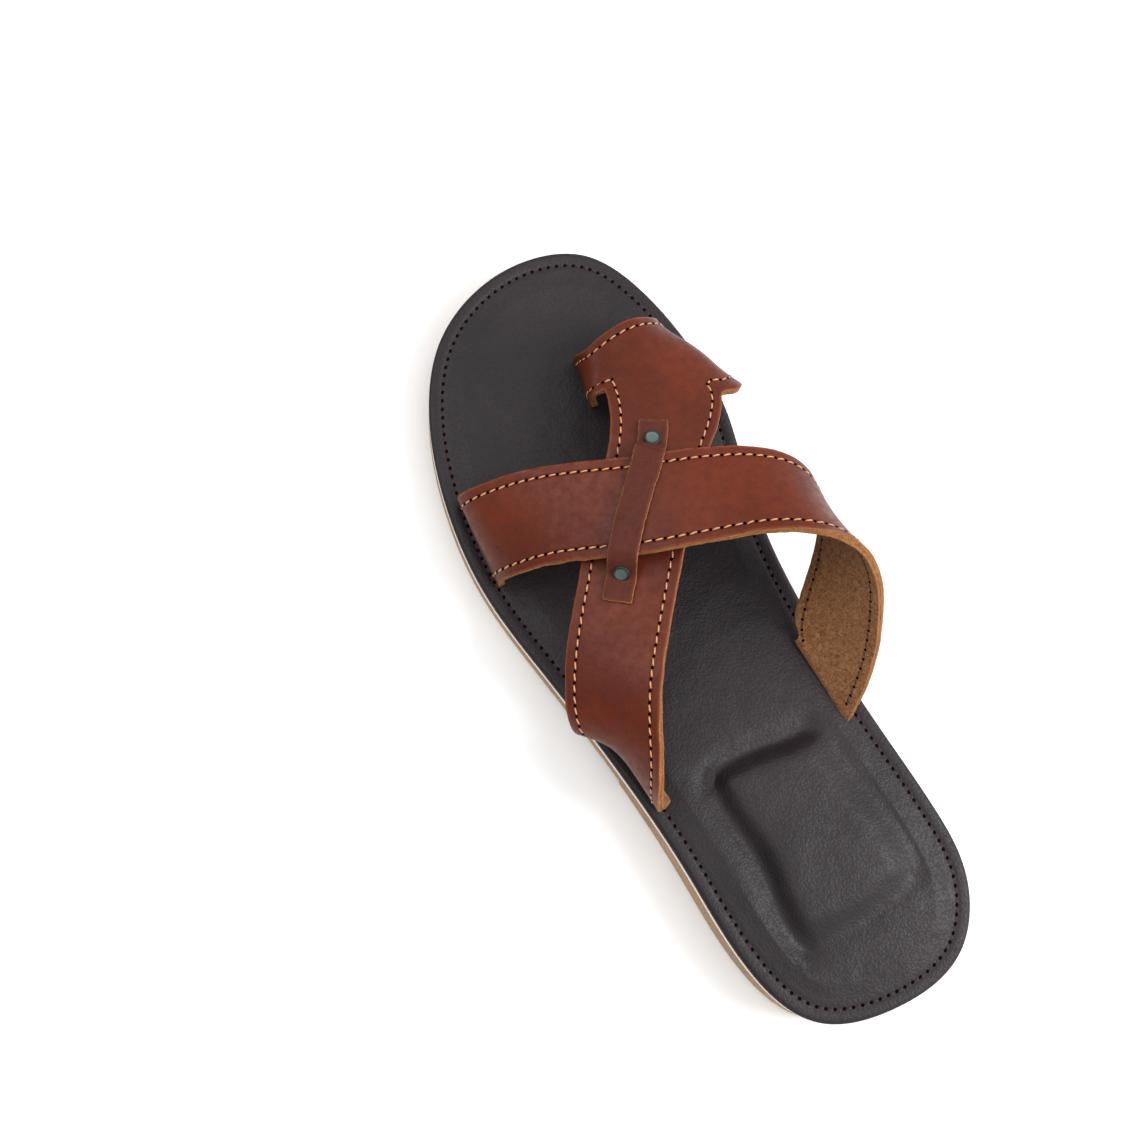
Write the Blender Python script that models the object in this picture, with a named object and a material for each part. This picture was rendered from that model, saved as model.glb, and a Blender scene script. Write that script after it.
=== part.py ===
# Leather slide sandal for the left foot, with a toe loop and two crossed straps.
# Metres. +Z is up, +Y points to the toe and +X to the inner side of the foot.
# The origin lies on the ground under the middle of the heel.
import math

import bmesh
import bpy
import numpy as np
from mathutils import Matrix, Vector
from mathutils.bvhtree import BVHTree

# sole plan
SOLE_LENGTH = 0.276
BALL_WIDTH = 0.104
HEEL_WIDTH = 0.081
HEEL_CENTRE = 0.045          # from the back of the heel to the origin

# layers, from the ground up
GAP = 0.0003                 # between faces that are glued or sewn together
OUTSOLE_FOREPART = 0.0075
HEEL_PITCH = 0.0075          # how much higher the heel stands than the ball
TOE_SPRING = 0.003
EDGE_CHAMFER = 0.0015
HEEL_LENGTH = 0.096          # from the back of the heel to its breast
BREAST_DEPTH = 0.006
BREAST_SLANT = 0.010         # how much further forward the breast reaches on the outer side
TREAD_START = 0.157          # where the forepart tread meets the ground
MIDSOLE = 0.003
BOARD = 0.0016
COVER = 0.0012
PADDING = 0.0015
PADDING_INSET = 0.0125
HEEL_PAD = 0.0018
HEEL_PAD_SIZE = (0.046, 0.064)
HEEL_PAD_CENTRE = (0.003, 0.008)

# leather and thread
UPPER = 0.0012
LINING = 0.0010
THREAD = 0.0004
THREAD_GAP = 0.0002          # above and below a thread that a strap crosses
SEAM_INSET = 0.0033          # strap seams, from the cut edge
SOLE_SEAM_INSET = 0.0045

# straps
CROSS_WIDTH = 0.0315
DIAGONAL_WIDTH = 0.031
LOOP_FRONT_WIDTH = 0.020     # the diagonal strap where the toe loop starts
OUTER_TAB = 0.022            # toe loop, tab between the first two toes, at its top
OUTER_TAB_FOOT = 0.018       # and where it enters its slot
INNER_TAB = 0.030            # toe loop, tab on the inner side
INNER_FLARE = 0.0055         # how far the strap widens into the inner tab
INNER_FLARE_START = 0.052    # from the front edge
TAIL = 0.010                 # strap end glued under the board
SLOT_CLEARANCE = 0.0006
SLOT_INSET = 0.007           # slot to sole edge
SLOT_RISE = 0.001            # how far a strap stands upright above its slot
WAIST_SLOT_INSET = 0.0075

# keeper strap and its rivets
KEEPER_WIDTH = 0.0095
KEEPER_LENGTH = 0.0605
KEEPER_SHIFT = 0.002         # from the middle of the diagonal strap to its outer side
KEEPER_BACKSET = 0.0007      # from the middle of the crossing toward the heel
KEEPER_THICKNESS = 0.0013
KEEPER_RAMP = 1.6            # steepest climb over the cross strap's edges
RIVET_HEAD = 0.0048
RIVET_HEAD_HEIGHT = 0.0010
RIVET_TUBE = 0.0022
RIVET_BORE = 0.0014
RIVET_BASE = 0.0046
RIVET_BASE_HEIGHT = 0.0007
FRONT_RIVET = 0.0068         # from the keeper's front end
REAR_RIVET = 0.0088          # from the keeper's rear end

STACK = MIDSOLE + BOARD + COVER + 2 * GAP
STRAP_OVER_SEAM = THREAD + 2 * THREAD_GAP

# half plans of the sole: across as a share of the width, along as a share of the length
HEEL_PLAN_OUTER = [(-0.32, 0.028), (-0.47, 0.118), (-0.524, 0.235), (-0.60, 0.373)]
BALL_PLAN_OUTER = [(-0.553, 0.518), (-0.618, 0.640), (-0.617, 0.740), (-0.548, 0.859), (-0.413, 0.944)]
TOE_PLAN = [(-0.212, 0.990), (-0.019, 1.0), (0.163, 0.979)]
BALL_PLAN_INNER = [(0.284, 0.917), (0.360, 0.819), (0.378, 0.736), (0.341, 0.645), (0.310, 0.543)]
HEEL_PLAN_INNER = [(0.403, 0.428), (0.448, 0.290), (0.500, 0.181), (0.500, 0.101), (0.345, 0.025)]

# places on the footbed are given for a sole of this width and length
FULL_SIZE = (0.104, 0.276)
REAR_SLOT = 0.0565
CROSS_OUTER_SLOT = 0.145
CROSS_INNER_SLOT = 0.058
OUTER_TAB_SLOT = (-0.0026, 0.183, 86)
INNER_TAB_SLOT = (0.0290, 0.1775, 105)

# strap centre lines, from the outer side's slot: across and along, height above the footbed, heading of the strap's width in degrees, and the rise of its width
CROSS_ROUTE = [
    (-0.0590, 0.1450, 0.008, 92, 0.00),
    (-0.0500, 0.1430, 0.020, 84, 0.00),
    (-0.0380, 0.1395, 0.0280, 72, 0.00),
    (-0.0150, 0.1300, 0.0385, 62, -0.03),
    (0.0130, 0.1215, 0.0440, 62, -0.25),
    (0.0345, 0.1105, 0.0430, 65, -0.65),
    (0.0435, 0.0955, 0.0325, 88, -1.05),
    (0.0385, 0.0775, 0.0180, 108, -0.70),
]
DIAGONAL_ROUTE = [
    (-0.0440, 0.0565, 0.007, 96, 0.00),
    (-0.0475, 0.0640, 0.018, 116, -0.20),
    (-0.0435, 0.0820, 0.028, 132, -0.36),
    (-0.0290, 0.1050, 0.0312, 148, -0.28),
    (-0.0125, 0.1275, 0.0322, 150, -0.22),
    (0.0030, 0.1480, 0.0325, 160, -0.10),
    (0.0110, 0.1690, 0.0290, 172, 0.00),
    (0.0115, 0.1905, 0.0240, 180, 0.00),
]


def clear_scene():
    for old in list(bpy.data.objects):
        bpy.data.objects.remove(old, do_unlink=True)


def material(name, colour, roughness, metallic=0.0):
    made = bpy.data.materials.new(name)
    made.use_nodes = True
    shader = made.node_tree.nodes["Principled BSDF"]
    shader.inputs["Base Color"].default_value = (*colour, 1.0)
    shader.inputs["Roughness"].default_value = roughness
    shader.inputs["Metallic"].default_value = metallic
    return made


def add(name, mesh, look):
    made = bpy.data.objects.new(name, mesh)
    made.data.materials.append(look)
    bpy.context.collection.objects.link(made)
    return made


def mesh_from(name, bm):
    bmesh.ops.recalc_face_normals(bm, faces=bm.faces)
    mesh = bpy.data.meshes.new(name)
    bm.to_mesh(mesh)
    bm.free()
    mesh.shade_smooth()
    mesh.set_sharp_from_angle(angle=math.radians(35))
    return mesh


# a smooth curve through points of any size; the first three values set its spacing
def curve(points, start=None, end=None, closed=False):
    p = np.array(points, dtype=float)
    if closed:
        p = np.vstack([p, p[:1]])
    n = len(p)
    step = np.linalg.norm(np.diff(p[:, :3], axis=0), axis=1)
    knots = np.concatenate([[0.0], np.cumsum(step)])
    rows = np.zeros((n, n))
    right = np.zeros_like(p)
    for i in range(1, n - 1):
        rows[i, i - 1] = 1 / step[i - 1]
        rows[i, i] = 2 / step[i - 1] + 2 / step[i]
        rows[i, i + 1] = 1 / step[i]
        right[i] = 3 * ((p[i] - p[i - 1]) / step[i - 1] ** 2 + (p[i + 1] - p[i]) / step[i] ** 2)
    if closed:
        rows[0, [0, 1, n - 2]] = 2 / step[0] + 2 / step[-1], 1 / step[0], 1 / step[-1]
        right[0] = 3 * ((p[1] - p[0]) / step[0] ** 2 + (p[0] - p[-2]) / step[-1] ** 2)
        rows[-1, [0, -1]] = 1, -1
    else:
        rows[0, [0, 1]] = 2 / step[0], 1 / step[0]
        right[0] = 3 * (p[1] - p[0]) / step[0] ** 2
        rows[-1, [-2, -1]] = 1 / step[-1], 2 / step[-1]
        right[-1] = 3 * (p[-1] - p[-2]) / step[-1] ** 2
    if start is not None:
        rows[0] = 0
        rows[0, 0] = 1
        right[0] = start
    if end is not None:
        rows[-1] = 0
        rows[-1, -1] = 1
        right[-1] = end
    slope = np.linalg.solve(rows, right)

    def at(place):
        i = int(np.clip(np.searchsorted(knots, place, "right") - 1, 0, n - 2))
        h = step[i]
        s = (place - knots[i]) / h
        return (
            p[i] * (1 + 2 * s) * (1 - s) ** 2
            + slope[i] * h * s * (1 - s) ** 2
            + p[i + 1] * s * s * (3 - 2 * s)
            - slope[i + 1] * h * s * s * (1 - s)
        )

    return at, knots[-1]


def smoothstep(share):
    s = min(max(share, 0.0), 1.0)
    return s * s * (3 - 2 * s)


def sole_plan():
    points = [(0.0, 0.0)]
    points += [(x * HEEL_WIDTH, y * SOLE_LENGTH) for x, y in HEEL_PLAN_OUTER]
    for plan in (BALL_PLAN_OUTER, TOE_PLAN, BALL_PLAN_INNER):
        points += [(x * BALL_WIDTH, y * SOLE_LENGTH) for x, y in plan]
    points += [(x * HEEL_WIDTH, y * SOLE_LENGTH) for x, y in HEEL_PLAN_INNER]
    at, length = curve([(x, y - HEEL_CENTRE, 0.0) for x, y in points], closed=True)
    return np.array([at(length * k / 720)[:2] for k in range(720)])


PLAN = sole_plan()
TOE_TIP = int(np.argmax(PLAN[:, 1]))
HEEL_TIP = 0
OUTER_SIDE = PLAN[HEEL_TIP:TOE_TIP + 1]
INNER_SIDE = np.vstack([PLAN[TOE_TIP:], PLAN[:1]])[::-1]


def edge(side, y):
    line = OUTER_SIDE if side < 0 else INNER_SIDE
    return float(np.interp(y, line[:, 1], line[:, 0]))


def edge_heading(side, y):
    reach = 0.004
    dx = edge(side, y + reach) - edge(side, y - reach)
    return Vector((dx, 2 * reach, 0.0)).normalized()


# heights at a place along the sole
def along(y):
    return y + HEEL_CENTRE


def outsole_top(y):
    pitch = HEEL_PITCH * (1 - smoothstep((along(y) - 0.05) / 0.12))
    return OUTSOLE_FOREPART + pitch + toe_spring(y)


def toe_spring(y):
    return TOE_SPRING * max(0.0, (along(y) - 0.84 * SOLE_LENGTH) / (0.16 * SOLE_LENGTH)) ** 2


def midsole_top(y):
    return outsole_top(y) + GAP + MIDSOLE


def board_top(y):
    return midsole_top(y) + GAP + BOARD


def footbed(y):
    return board_top(y) + GAP + COVER


def padding_lift(inset):
    return 0.0004 + (PADDING - 0.0004) * smoothstep((inset - PADDING_INSET) / 0.006)


# 1 in the middle of the heel pad, 0 on its rim, for a pad grown by a factor
def heel_share(x, y, grown=1.0):
    across = (x - HEEL_PAD_CENTRE[0]) / (HEEL_PAD_SIZE[0] / 2 * grown)
    lengthwise = (y - HEEL_PAD_CENTRE[1]) / (HEEL_PAD_SIZE[1] / 2 * grown)
    return max(0.0, 1 - across ** 2 - lengthwise ** 2)


def heel_pad_thickness(x, y):
    thin = 0.0003
    return thin + (HEEL_PAD - thin) * smoothstep(heel_share(x, y) * 1.6)


# places along the sole, closer together where its ends turn
def stations():
    count = 46
    first, last = PLAN[HEEL_TIP, 1], PLAN[TOE_TIP, 1]
    places = []
    for k in range(count + 1):
        s = k / count
        eased = 0.1 * s + 0.9 * (1 - math.cos(math.pi * s)) / 2
        places.append(first + (last - first) * eased)
    return places


STATIONS = stations()


# a point of the sole's edge moved inward by inset, at one station; both sides meet at the tips
def rim(side, y, inset):
    if y in (STATIONS[0], STATIONS[-1]):
        tip = PLAN[HEEL_TIP] if y == STATIONS[0] else PLAN[TOE_TIP]
        return Vector((tip[0], tip[1] + (inset if y == STATIONS[0] else -inset)))
    reach = 0.0002
    heading = Vector((edge(side, y + reach) - edge(side, y - reach), 2 * reach)).normalized()
    inward = Vector((heading.y, -heading.x)) * (-side)
    return Vector((edge(side, y), y)) + inward * inset


# a skin over closed sections; pointed ends need no caps, because there it meets itself
def loft(name, sections, look, pointed=False):
    bm = bmesh.new()
    rings = [[bm.verts.new(p) for p in section] for section in sections]
    count = len(rings[0])
    for near, far in zip(rings, rings[1:]):
        for k in range(count):
            nxt = (k + 1) % count
            bm.faces.new((near[k], near[nxt], far[nxt], far[k]))
    if pointed:
        bmesh.ops.remove_doubles(bm, verts=bm.verts, dist=1e-6)
    else:
        bm.faces.new(rings[0][::-1])
        bm.faces.new(rings[-1])
    return add(name, mesh_from(name, bm), look)


# one layer of the sole: sections across it, each with a lower and an upper line of points
# taken at the given insets from both edges and at even shares between the innermost two
def layer(name, look, insets, low, high, middle=1, chamfer=0.0):
    sections = []
    for y in STATIONS:
        outer = [rim(-1, y, d) for d in insets]
        inner = [rim(1, y, d) for d in insets]
        core = [outer[-1].lerp(inner[-1], k / middle) for k in range(1, middle)]
        line = outer + core + inner[::-1]
        depth = list(insets) + [None] * (middle - 1) + list(insets)[::-1]
        section = []
        if chamfer:
            section.append((*outer[0], low(outer[0].x, outer[0].y, 0.0) + chamfer))
            bottom = [rim(-1, y, chamfer), *line[1:-1], rim(1, y, chamfer)]
        else:
            bottom = line
        for point, inset in zip(bottom, depth):
            section.append((*point, low(point.x, point.y, inset)))
        if chamfer:
            section.append((*inner[0], low(inner[0].x, inner[0].y, 0.0) + chamfer))
        for point, inset in zip(line[::-1], depth[::-1]):
            section.append((*point, high(point.x, point.y, inset)))
        sections.append(section)
    return loft(name, sections, look, pointed=True)


def box(name, centre, size, heading, tilt=0.0):
    bm = bmesh.new()
    bmesh.ops.create_cube(bm, size=1.0)
    turn = Matrix.Rotation(math.atan2(heading.y, heading.x) - math.pi / 2, 4, "Z")
    turn = turn @ Matrix.Rotation(tilt, 4, "X")
    place = Matrix.Translation(centre) @ turn @ Matrix.Diagonal((*size, 1.0))
    bmesh.ops.transform(bm, matrix=place, verts=bm.verts)
    mesh = bpy.data.meshes.new(name)
    bm.to_mesh(mesh)
    bm.free()
    return mesh


def cutter(name, meshes):
    bm = bmesh.new()
    for mesh in meshes:
        bm.from_mesh(mesh)
    joined = bpy.data.meshes.new(name)
    bm.to_mesh(joined)
    bm.free()
    made = bpy.data.objects.new(name, joined)
    made.hide_render = True
    made.display_type = "WIRE"
    bpy.context.collection.objects.link(made)
    return made


def cut(target, tool):
    modifier = target.modifiers.new(tool.name, "BOOLEAN")
    modifier.operation = "DIFFERENCE"
    modifier.solver = "EXACT"
    modifier.object = tool


def edge_slot(side, y, length, inset):
    heading = edge_heading(side, y)
    outward = Vector((heading.y, -heading.x, 0.0)) * side
    return Slot(side, length, Vector((edge(side, y), y, 0.0)) - outward * inset, heading)


class Slot:
    # a straight slot through the footbed that a strap end passes down through
    def __init__(self, side, length, centre, heading):
        self.length = length
        self.centre = centre
        self.heading = heading
        self.outward = Vector((heading.y, -heading.x, 0.0)) * side

    def at(self, share, height):
        place = self.centre + self.heading * (share * self.length / 2)
        return Vector((place.x, place.y, height(place.y)))

    def tilt(self, height):
        low, high = self.at(-1, height), self.at(1, height)
        return math.asin((high.z - low.z) / (high - low).length)

    def through(self):
        thick = UPPER + GAP + LINING + 2 * SLOT_CLEARANCE
        middle = self.at(0, footbed) + self.outward * (UPPER - GAP - LINING) / 2
        size = (thick, self.length + 2 * SLOT_CLEARANCE, 0.012)
        return box("slot", middle, size, self.heading)

    def pocket(self):
        depth = UPPER + 2 * GAP + 0.0002
        reach = TAIL + UPPER + 3 * SLOT_CLEARANCE
        outer_face = UPPER + SLOT_CLEARANCE
        middle = self.at(0, midsole_top) + self.outward * (outer_face - reach / 2)
        size = (reach, self.length + 4 * SLOT_CLEARANCE, 2 * depth)
        return box("pocket", middle, size, self.heading, self.tilt(midsole_top))


# the recess under the arch: from the slanted heel breast it fades forward to the tread
def shank_cutter():
    half = BALL_WIDTH
    breast = HEEL_LENGTH - HEEL_CENTRE
    front = TREAD_START - HEEL_CENTRE
    below = -0.01
    bm = bmesh.new()
    profiles = []
    for side in (-1, 1):
        foot = breast - side * BREAST_SLANT / 2
        profiles.append([
            bm.verts.new((side * half, y, z))
            for y, z in ((foot, below), (foot, 0.0), (foot + 0.002, BREAST_DEPTH), (front, 0.0), (front, below))
        ])
    left, right = profiles
    bm.faces.new(left)
    bm.faces.new(right[::-1])
    for k in range(len(left)):
        nxt = (k + 1) % len(left)
        bm.faces.new((left[k], right[k], right[nxt], left[nxt]))
    bmesh.ops.recalc_face_normals(bm, faces=bm.faces)
    mesh = bpy.data.meshes.new("shank")
    bm.to_mesh(mesh)
    bm.free()
    return cutter("shank_cutter", [mesh])


def placed(x, y):
    wide, long = BALL_WIDTH / FULL_SIZE[0], SOLE_LENGTH / FULL_SIZE[1]
    return x * wide, (y + HEEL_CENTRE) * long - HEEL_CENTRE


def tab_slot(side, length, place):
    x, y, angle = place
    turn = math.radians(angle)
    heading = Vector((math.cos(turn), math.sin(turn), 0.0))
    return Slot(side, length, Vector((*placed(x, y), 0.0)), heading)


# one line across a strap: its two edge points and the direction its grain side faces
class Line:
    def __init__(self, left, right, normal):
        self.left = left
        self.right = right
        self.normal = normal
        self.edge_normals = (normal, normal)

    def at(self, share, lift):
        normal = self.edge_normals[0].lerp(self.edge_normals[1], share).normalized()
        return self.left.lerp(self.right, share) + normal * lift


# a twisted strap faces differently at its two edges
def face_lines(lines):
    for k, line in enumerate(lines):
        before, after = lines[max(k - 1, 0)], lines[min(k + 1, len(lines) - 1)]
        across = line.left - line.right
        line.edge_normals = (
            (after.left - before.left).cross(across).normalized(),
            (after.right - before.right).cross(across).normalized(),
        )


# the strap end below the footbed, from its tip under the board up to the slot's mouth
def tail_lines(slot):
    bend = 0.0008
    up = Vector((0.0, 0.0, 1.0))
    lines = []

    def line(offset, height, normal):
        left = slot.at(1, midsole_top) + slot.outward * offset + up * height
        right = slot.at(-1, midsole_top) + slot.outward * offset + up * height
        lines.append(Line(left, right, normal))

    line(-bend - TAIL, 0.0, -up)
    for angle in (90, 45, 0):
        turn = math.radians(angle)
        normal = slot.outward * math.cos(turn) - up * math.sin(turn)
        line(bend * (math.cos(turn) - 1), bend * (1 - math.sin(turn)), normal)
    line(0.0, bend + 2 * GAP, slot.outward)
    line(0.0, STACK - MIDSOLE + SLOT_RISE, slot.outward)
    return lines


SQUARE_BY = 0.030
LINING_START = 4             # the lining stops inside the slot, at this line


class Ribbon:
    # a strap that starts in a slot and follows a route; heights are above the footbed
    def __init__(self, route, width, slot, end_slot=None):
        self.width = width
        places = []
        for x, y, height, heading, rise in route:
            px, py = placed(x, y)
            places.append((px, py, footbed(py) + height, math.radians(heading), rise))
        rise = Vector((0.0, 0.0, SLOT_RISE))
        start = slot.at(0, footbed) + rise
        places.insert(0, (*start, math.atan2(slot.heading.y, slot.heading.x), 0.0))
        if end_slot:
            finish = end_slot.at(0, footbed) + rise
            heading = math.atan2(end_slot.heading.y, end_slot.heading.x)
            places.append((*finish, heading, 0.0))
        self.two_slots = end_slot is not None
        self.route, self.length = curve(places)

    # a strap leaves its slot aslant, and turns square to its route within SQUARE_BY
    def squareness(self, place):
        square = smoothstep(place / SQUARE_BY)
        if self.two_slots:
            square *= smoothstep((self.length - place) / SQUARE_BY)
        return square

    def line(self, place, width=None, flare=0.0):
        step = 0.0002
        near = self.route(max(place - step, 0.0))
        far = self.route(min(place + step, self.length))
        here = self.route(place)
        ahead = Vector(far[:3] - near[:3]).normalized()
        side = Vector((math.cos(here[3]), math.sin(here[3]), here[4]))
        side = (side - ahead * side.dot(ahead) * self.squareness(place)).normalized()
        half = side * (width or self.width) / 2
        centre = Vector(here[:3])
        return Line(centre + half, centre - half - side * flare, ahead.cross(side).normalized())


def strap(name, lines, low, high, look):
    shares = (0, 0.33, 0.67, 1)
    sections = []
    for line in lines:
        section = [line.at(share, low) for share in shares]
        sections.append(section + [line.at(share, high) for share in shares[::-1]])
    return loft(name, sections, look)


def thread(name, points, look):
    data = bpy.data.curves.new(name, "CURVE")
    data.dimensions = "3D"
    data.bevel_depth = THREAD / 2
    data.bevel_resolution = 0
    data.use_fill_caps = True
    spline = data.splines.new("POLY")
    spline.points.add(len(points) - 1)
    for slot, point in zip(spline.points, points):
        slot.co = (*point, 1.0)
    return add(name, data, look)


THREAD_LIFT = UPPER + THREAD_GAP + THREAD / 2


# the toe strap: the diagonal ribbon, and two tabs that run from its front end down into
# their own slots, so that its leather is one T-shaped piece
class ToeStrap:
    def __init__(self, slot, outer_slot, inner_slot):
        self.ribbon = Ribbon(DIAGONAL_ROUTE, DIAGONAL_WIDTH, slot)
        tail = tail_lines(slot)
        self.tail_count = len(tail) - 1
        body = self.ribbon.length - INNER_TAB
        self.places = [body * k / 28 for k in range(28)]
        self.from_front = self.steps(INNER_TAB, OUTER_TAB)
        self.places += [self.ribbon.length - d for d in self.from_front]
        edge_share = SEAM_INSET / DIAGONAL_WIDTH
        self.shares = [0, edge_share, 0.3, 0.5, 0.7, 1 - edge_share, 1]
        self.leg = 7
        self.side_columns = self.leg + 5
        self.first = self.side_columns
        self.grid = []
        for line in tail[:-1]:
            self.grid.append(self.row(line, None, None, None))
        for place in self.places:
            front = self.ribbon.length - place
            width = LOOP_FRONT_WIDTH + (DIAGONAL_WIDTH - LOOP_FRONT_WIDTH) * smoothstep(front / 0.02)
            widening = (INNER_FLARE_START - front) / (INNER_FLARE_START - INNER_TAB)
            flare = INNER_FLARE * smoothstep(widening) * min(1.0, front / INNER_TAB) ** 2
            line = self.ribbon.line(place, width, flare)
            self.grid.append(self.row(line, front, outer_slot, inner_slot))

    # distances from the front edge at which lines lie, so that both seams and both tabs end on one
    def steps(self, inner, outer):
        marks = [inner, inner - SEAM_INSET, outer + 0.0045, outer, outer - SEAM_INSET, SEAM_INSET, 0.0]
        found = []
        for a, b in zip(marks, marks[1:]):
            pieces = max(1, round((a - b) / 0.0045))
            found += [a + (b - a) * k / pieces for k in range(pieces)]
        return found + [0.0]

    def row(self, line, front, outer_slot, inner_slot):
        points = []
        for share in self.shares:
            bow = 0.0
            if front is not None:
                bow = 0.0045 * (1 - smoothstep(front / 0.055)) * (2 * share - 1) ** 2
            points.append(line.at(share, -bow))
        outer = inner = [None] * self.side_columns
        if front is not None and front <= OUTER_TAB + 1e-6:
            share = 1 - 2 * front / OUTER_TAB
            outer = self.tab(points[0], points[1], outer_slot, share, 0.020, 0.15)[::-1]
        if front is not None and front <= INNER_TAB + 1e-6:
            share = 1 - 2 * front / INNER_TAB
            reach = 0.016 + 0.032 * (front / INNER_TAB) ** 3
            inner = self.tab(points[-1], points[-2], inner_slot, share, reach, 0.45)
        return outer + points + inner

    # points from the ribbon's edge down to a slot and on to the tab's tip under the board
    def tab(self, top, before, slot, share, reach, lean):
        up = Vector((0.0, 0.0, 1.0))
        mouth = slot.at(share, footbed) + up * SLOT_RISE
        leave = (top - before).normalized() * reach
        arrive = (-up - slot.outward * lean).normalized() * reach
        points = []
        for k in range(1, self.leg + 1):
            s = k / self.leg
            points.append(
                top * (1 + 2 * s) * (1 - s) ** 2
                + leave * s * (1 - s) ** 2
                + mouth * s * s * (3 - 2 * s)
                - arrive * s * s * (1 - s)
            )
        side = (1 - share) / 2
        for line in tail_lines(slot)[-2::-1]:
            points.append(line.at(side, 0.0))
        return points

    def surface(self, lift, trim):
        bm = bmesh.new()
        made = {}
        for i, row in enumerate(self.grid):
            for j, point in enumerate(row):
                if point is not None:
                    made[i, j] = bm.verts.new(point)
        last = len(self.grid[0]) - 1
        for i in range(len(self.grid) - 1):
            for j in range(last):
                if i < trim or j < trim or j >= last - trim:
                    continue
                corners = [made.get(k) for k in ((i, j), (i, j + 1), (i + 1, j + 1), (i + 1, j))]
                if None not in corners:
                    bm.faces.new(corners)
        loose = [v for v in bm.verts if not v.link_faces]
        bmesh.ops.delete(bm, geom=loose, context="VERTS")
        bm.normal_update()
        for vert, normal in [(v, v.normal.copy()) for v in bm.verts]:
            vert.co += normal * lift
        return bm

    def solid(self, name, lift, thickness, outward, trim, look):
        bm = self.surface(lift, trim)
        mesh = bpy.data.meshes.new(name)
        bm.to_mesh(mesh)
        bm.free()
        mesh.shade_smooth()
        made = add(name, mesh, look)
        modifier = made.modifiers.new("thickness", "SOLIDIFY")
        modifier.thickness = thickness
        modifier.offset = 1.0 if outward else -1.0
        modifier.use_even_offset = True
        return made

    def normals(self):
        bm = self.surface(0.0, 0)
        found = {v.co.to_tuple(6): v.normal.copy() for v in bm.verts}
        bm.free()
        return found

    # points above the grain side along a list of (row, column) places
    def seam(self, cells):
        normals = self.normals()
        points = []
        for i, j in cells:
            point = self.grid[i][j]
            points.append(point + normals[Vector(point).to_tuple(6)] * THREAD_LIFT)
        return points


def heel_pad(look):
    sections = []
    count = 14
    for k in range(count + 1):
        lengthwise = -math.cos(math.pi * (k + 0.6) / (count + 1.2))
        y = HEEL_PAD_CENTRE[1] + lengthwise * HEEL_PAD_SIZE[1] / 2
        half = HEEL_PAD_SIZE[0] / 2 * math.sqrt(1 - lengthwise ** 2)
        low = board_top(y) + 2 * GAP + PADDING
        xs = [HEEL_PAD_CENTRE[0] + half * share for share in (-1, -0.75, -0.4, 0, 0.4, 0.75, 1)]
        bottom = [(x, y, low) for x in xs]
        top = [(x, y, low + heel_pad_thickness(x, y)) for x in xs[::-1]]
        sections.append(bottom + top)
    return loft("heel_pad", sections, look)


# the seam round the footbed starts and ends at the inner waist
def footbed_seam():
    outer = [rim(-1, y, SOLE_SEAM_INSET) for y in STATIONS]
    inner = [rim(1, y, SOLE_SEAM_INSET) for y in STATIONS]
    waist = len(STATIONS) // 3
    loop = inner[waist:] + outer[::-1] + inner[:waist]
    loop.append(inner[waist - 1].lerp(inner[waist], 0.8))
    return [(p.x, p.y, footbed(p.y) + GAP + THREAD / 2) for p in loop]


def crossing_place(diagonal, cross):
    best = None
    for k in range(200):
        place = diagonal.length * k / 200
        here = diagonal.route(place)[:2]
        for m in range(60):
            away = np.linalg.norm(cross.route(cross.length * m / 60)[:2] - here)
            if best is None or away < best[0]:
                best = (away, place)
    return best[1]


# the keeper strap lies on the diagonal strap and climbs over the cross strap
class Keeper:
    def __init__(self, toe, cross, cross_upper):
        self.ribbon = toe.ribbon
        self.middle = crossing_place(toe.ribbon, cross) - KEEPER_BACKSET
        self.count = 40
        self.step = KEEPER_LENGTH / self.count
        tree = BVHTree.FromPolygons(
            [v.co for v in cross_upper.data.vertices], [p.vertices for p in cross_upper.data.polygons],
        )
        needed = [self.clear(k, tree) for k in range(self.count + 1)]
        wanted = [max(needed[max(k - 1, 0):k + 2]) for k in range(self.count + 1)]
        self.lifts = [
            max(wanted[m] - KEEPER_RAMP * self.step * abs(m - k) for m in range(self.count + 1))
            for k in range(self.count + 1)
        ]
        self.lifts = [max(lift, UPPER + GAP) for lift in self.lifts]

    def line(self, offset):
        line = self.ribbon.line(self.middle + offset)
        across = (line.right - line.left).normalized()
        centre = line.left.lerp(line.right, 0.5) - across * KEEPER_SHIFT
        half = across * KEEPER_WIDTH / 2
        return Line(centre - half, centre + half, line.normal)

    def offset(self, k):
        return -KEEPER_LENGTH / 2 + self.step * k

    def clear(self, k, tree):
        line = self.line(self.offset(k))
        above = 0.03
        lift = UPPER + GAP
        for share in (0.0, 0.25, 0.5, 0.75, 1.0):
            hit = tree.ray_cast(line.at(share, above), -line.normal)
            if hit[0] is not None and above - hit[3] > UPPER:
                lift = max(lift, above - hit[3] + STRAP_OVER_SEAM + THREAD_GAP)
        return lift

    def solid(self, look):
        sections = []
        for k in range(self.count + 1):
            line = self.line(self.offset(k))
            low, high = self.lifts[k], self.lifts[k] + KEEPER_THICKNESS
            sections.append([line.at(0, low), line.at(1, low), line.at(1, high), line.at(0, high)])
        return loft("keeper_strap", sections, look)

    # a rivet's frame on the strap below, and how high its head sits
    def seat(self, offset):
        line = self.line(offset)
        across = (line.right - line.left).normalized()
        turn = Matrix((across, line.normal.cross(across), line.normal)).transposed().to_4x4()
        under = [
            self.lifts[k] for k in range(self.count + 1) if abs(self.offset(k) - offset) < 0.75 * RIVET_HEAD
        ]
        return Matrix.Translation(line.at(0.5, 0.0)) @ turn, max(under) + KEEPER_THICKNESS + GAP


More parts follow.
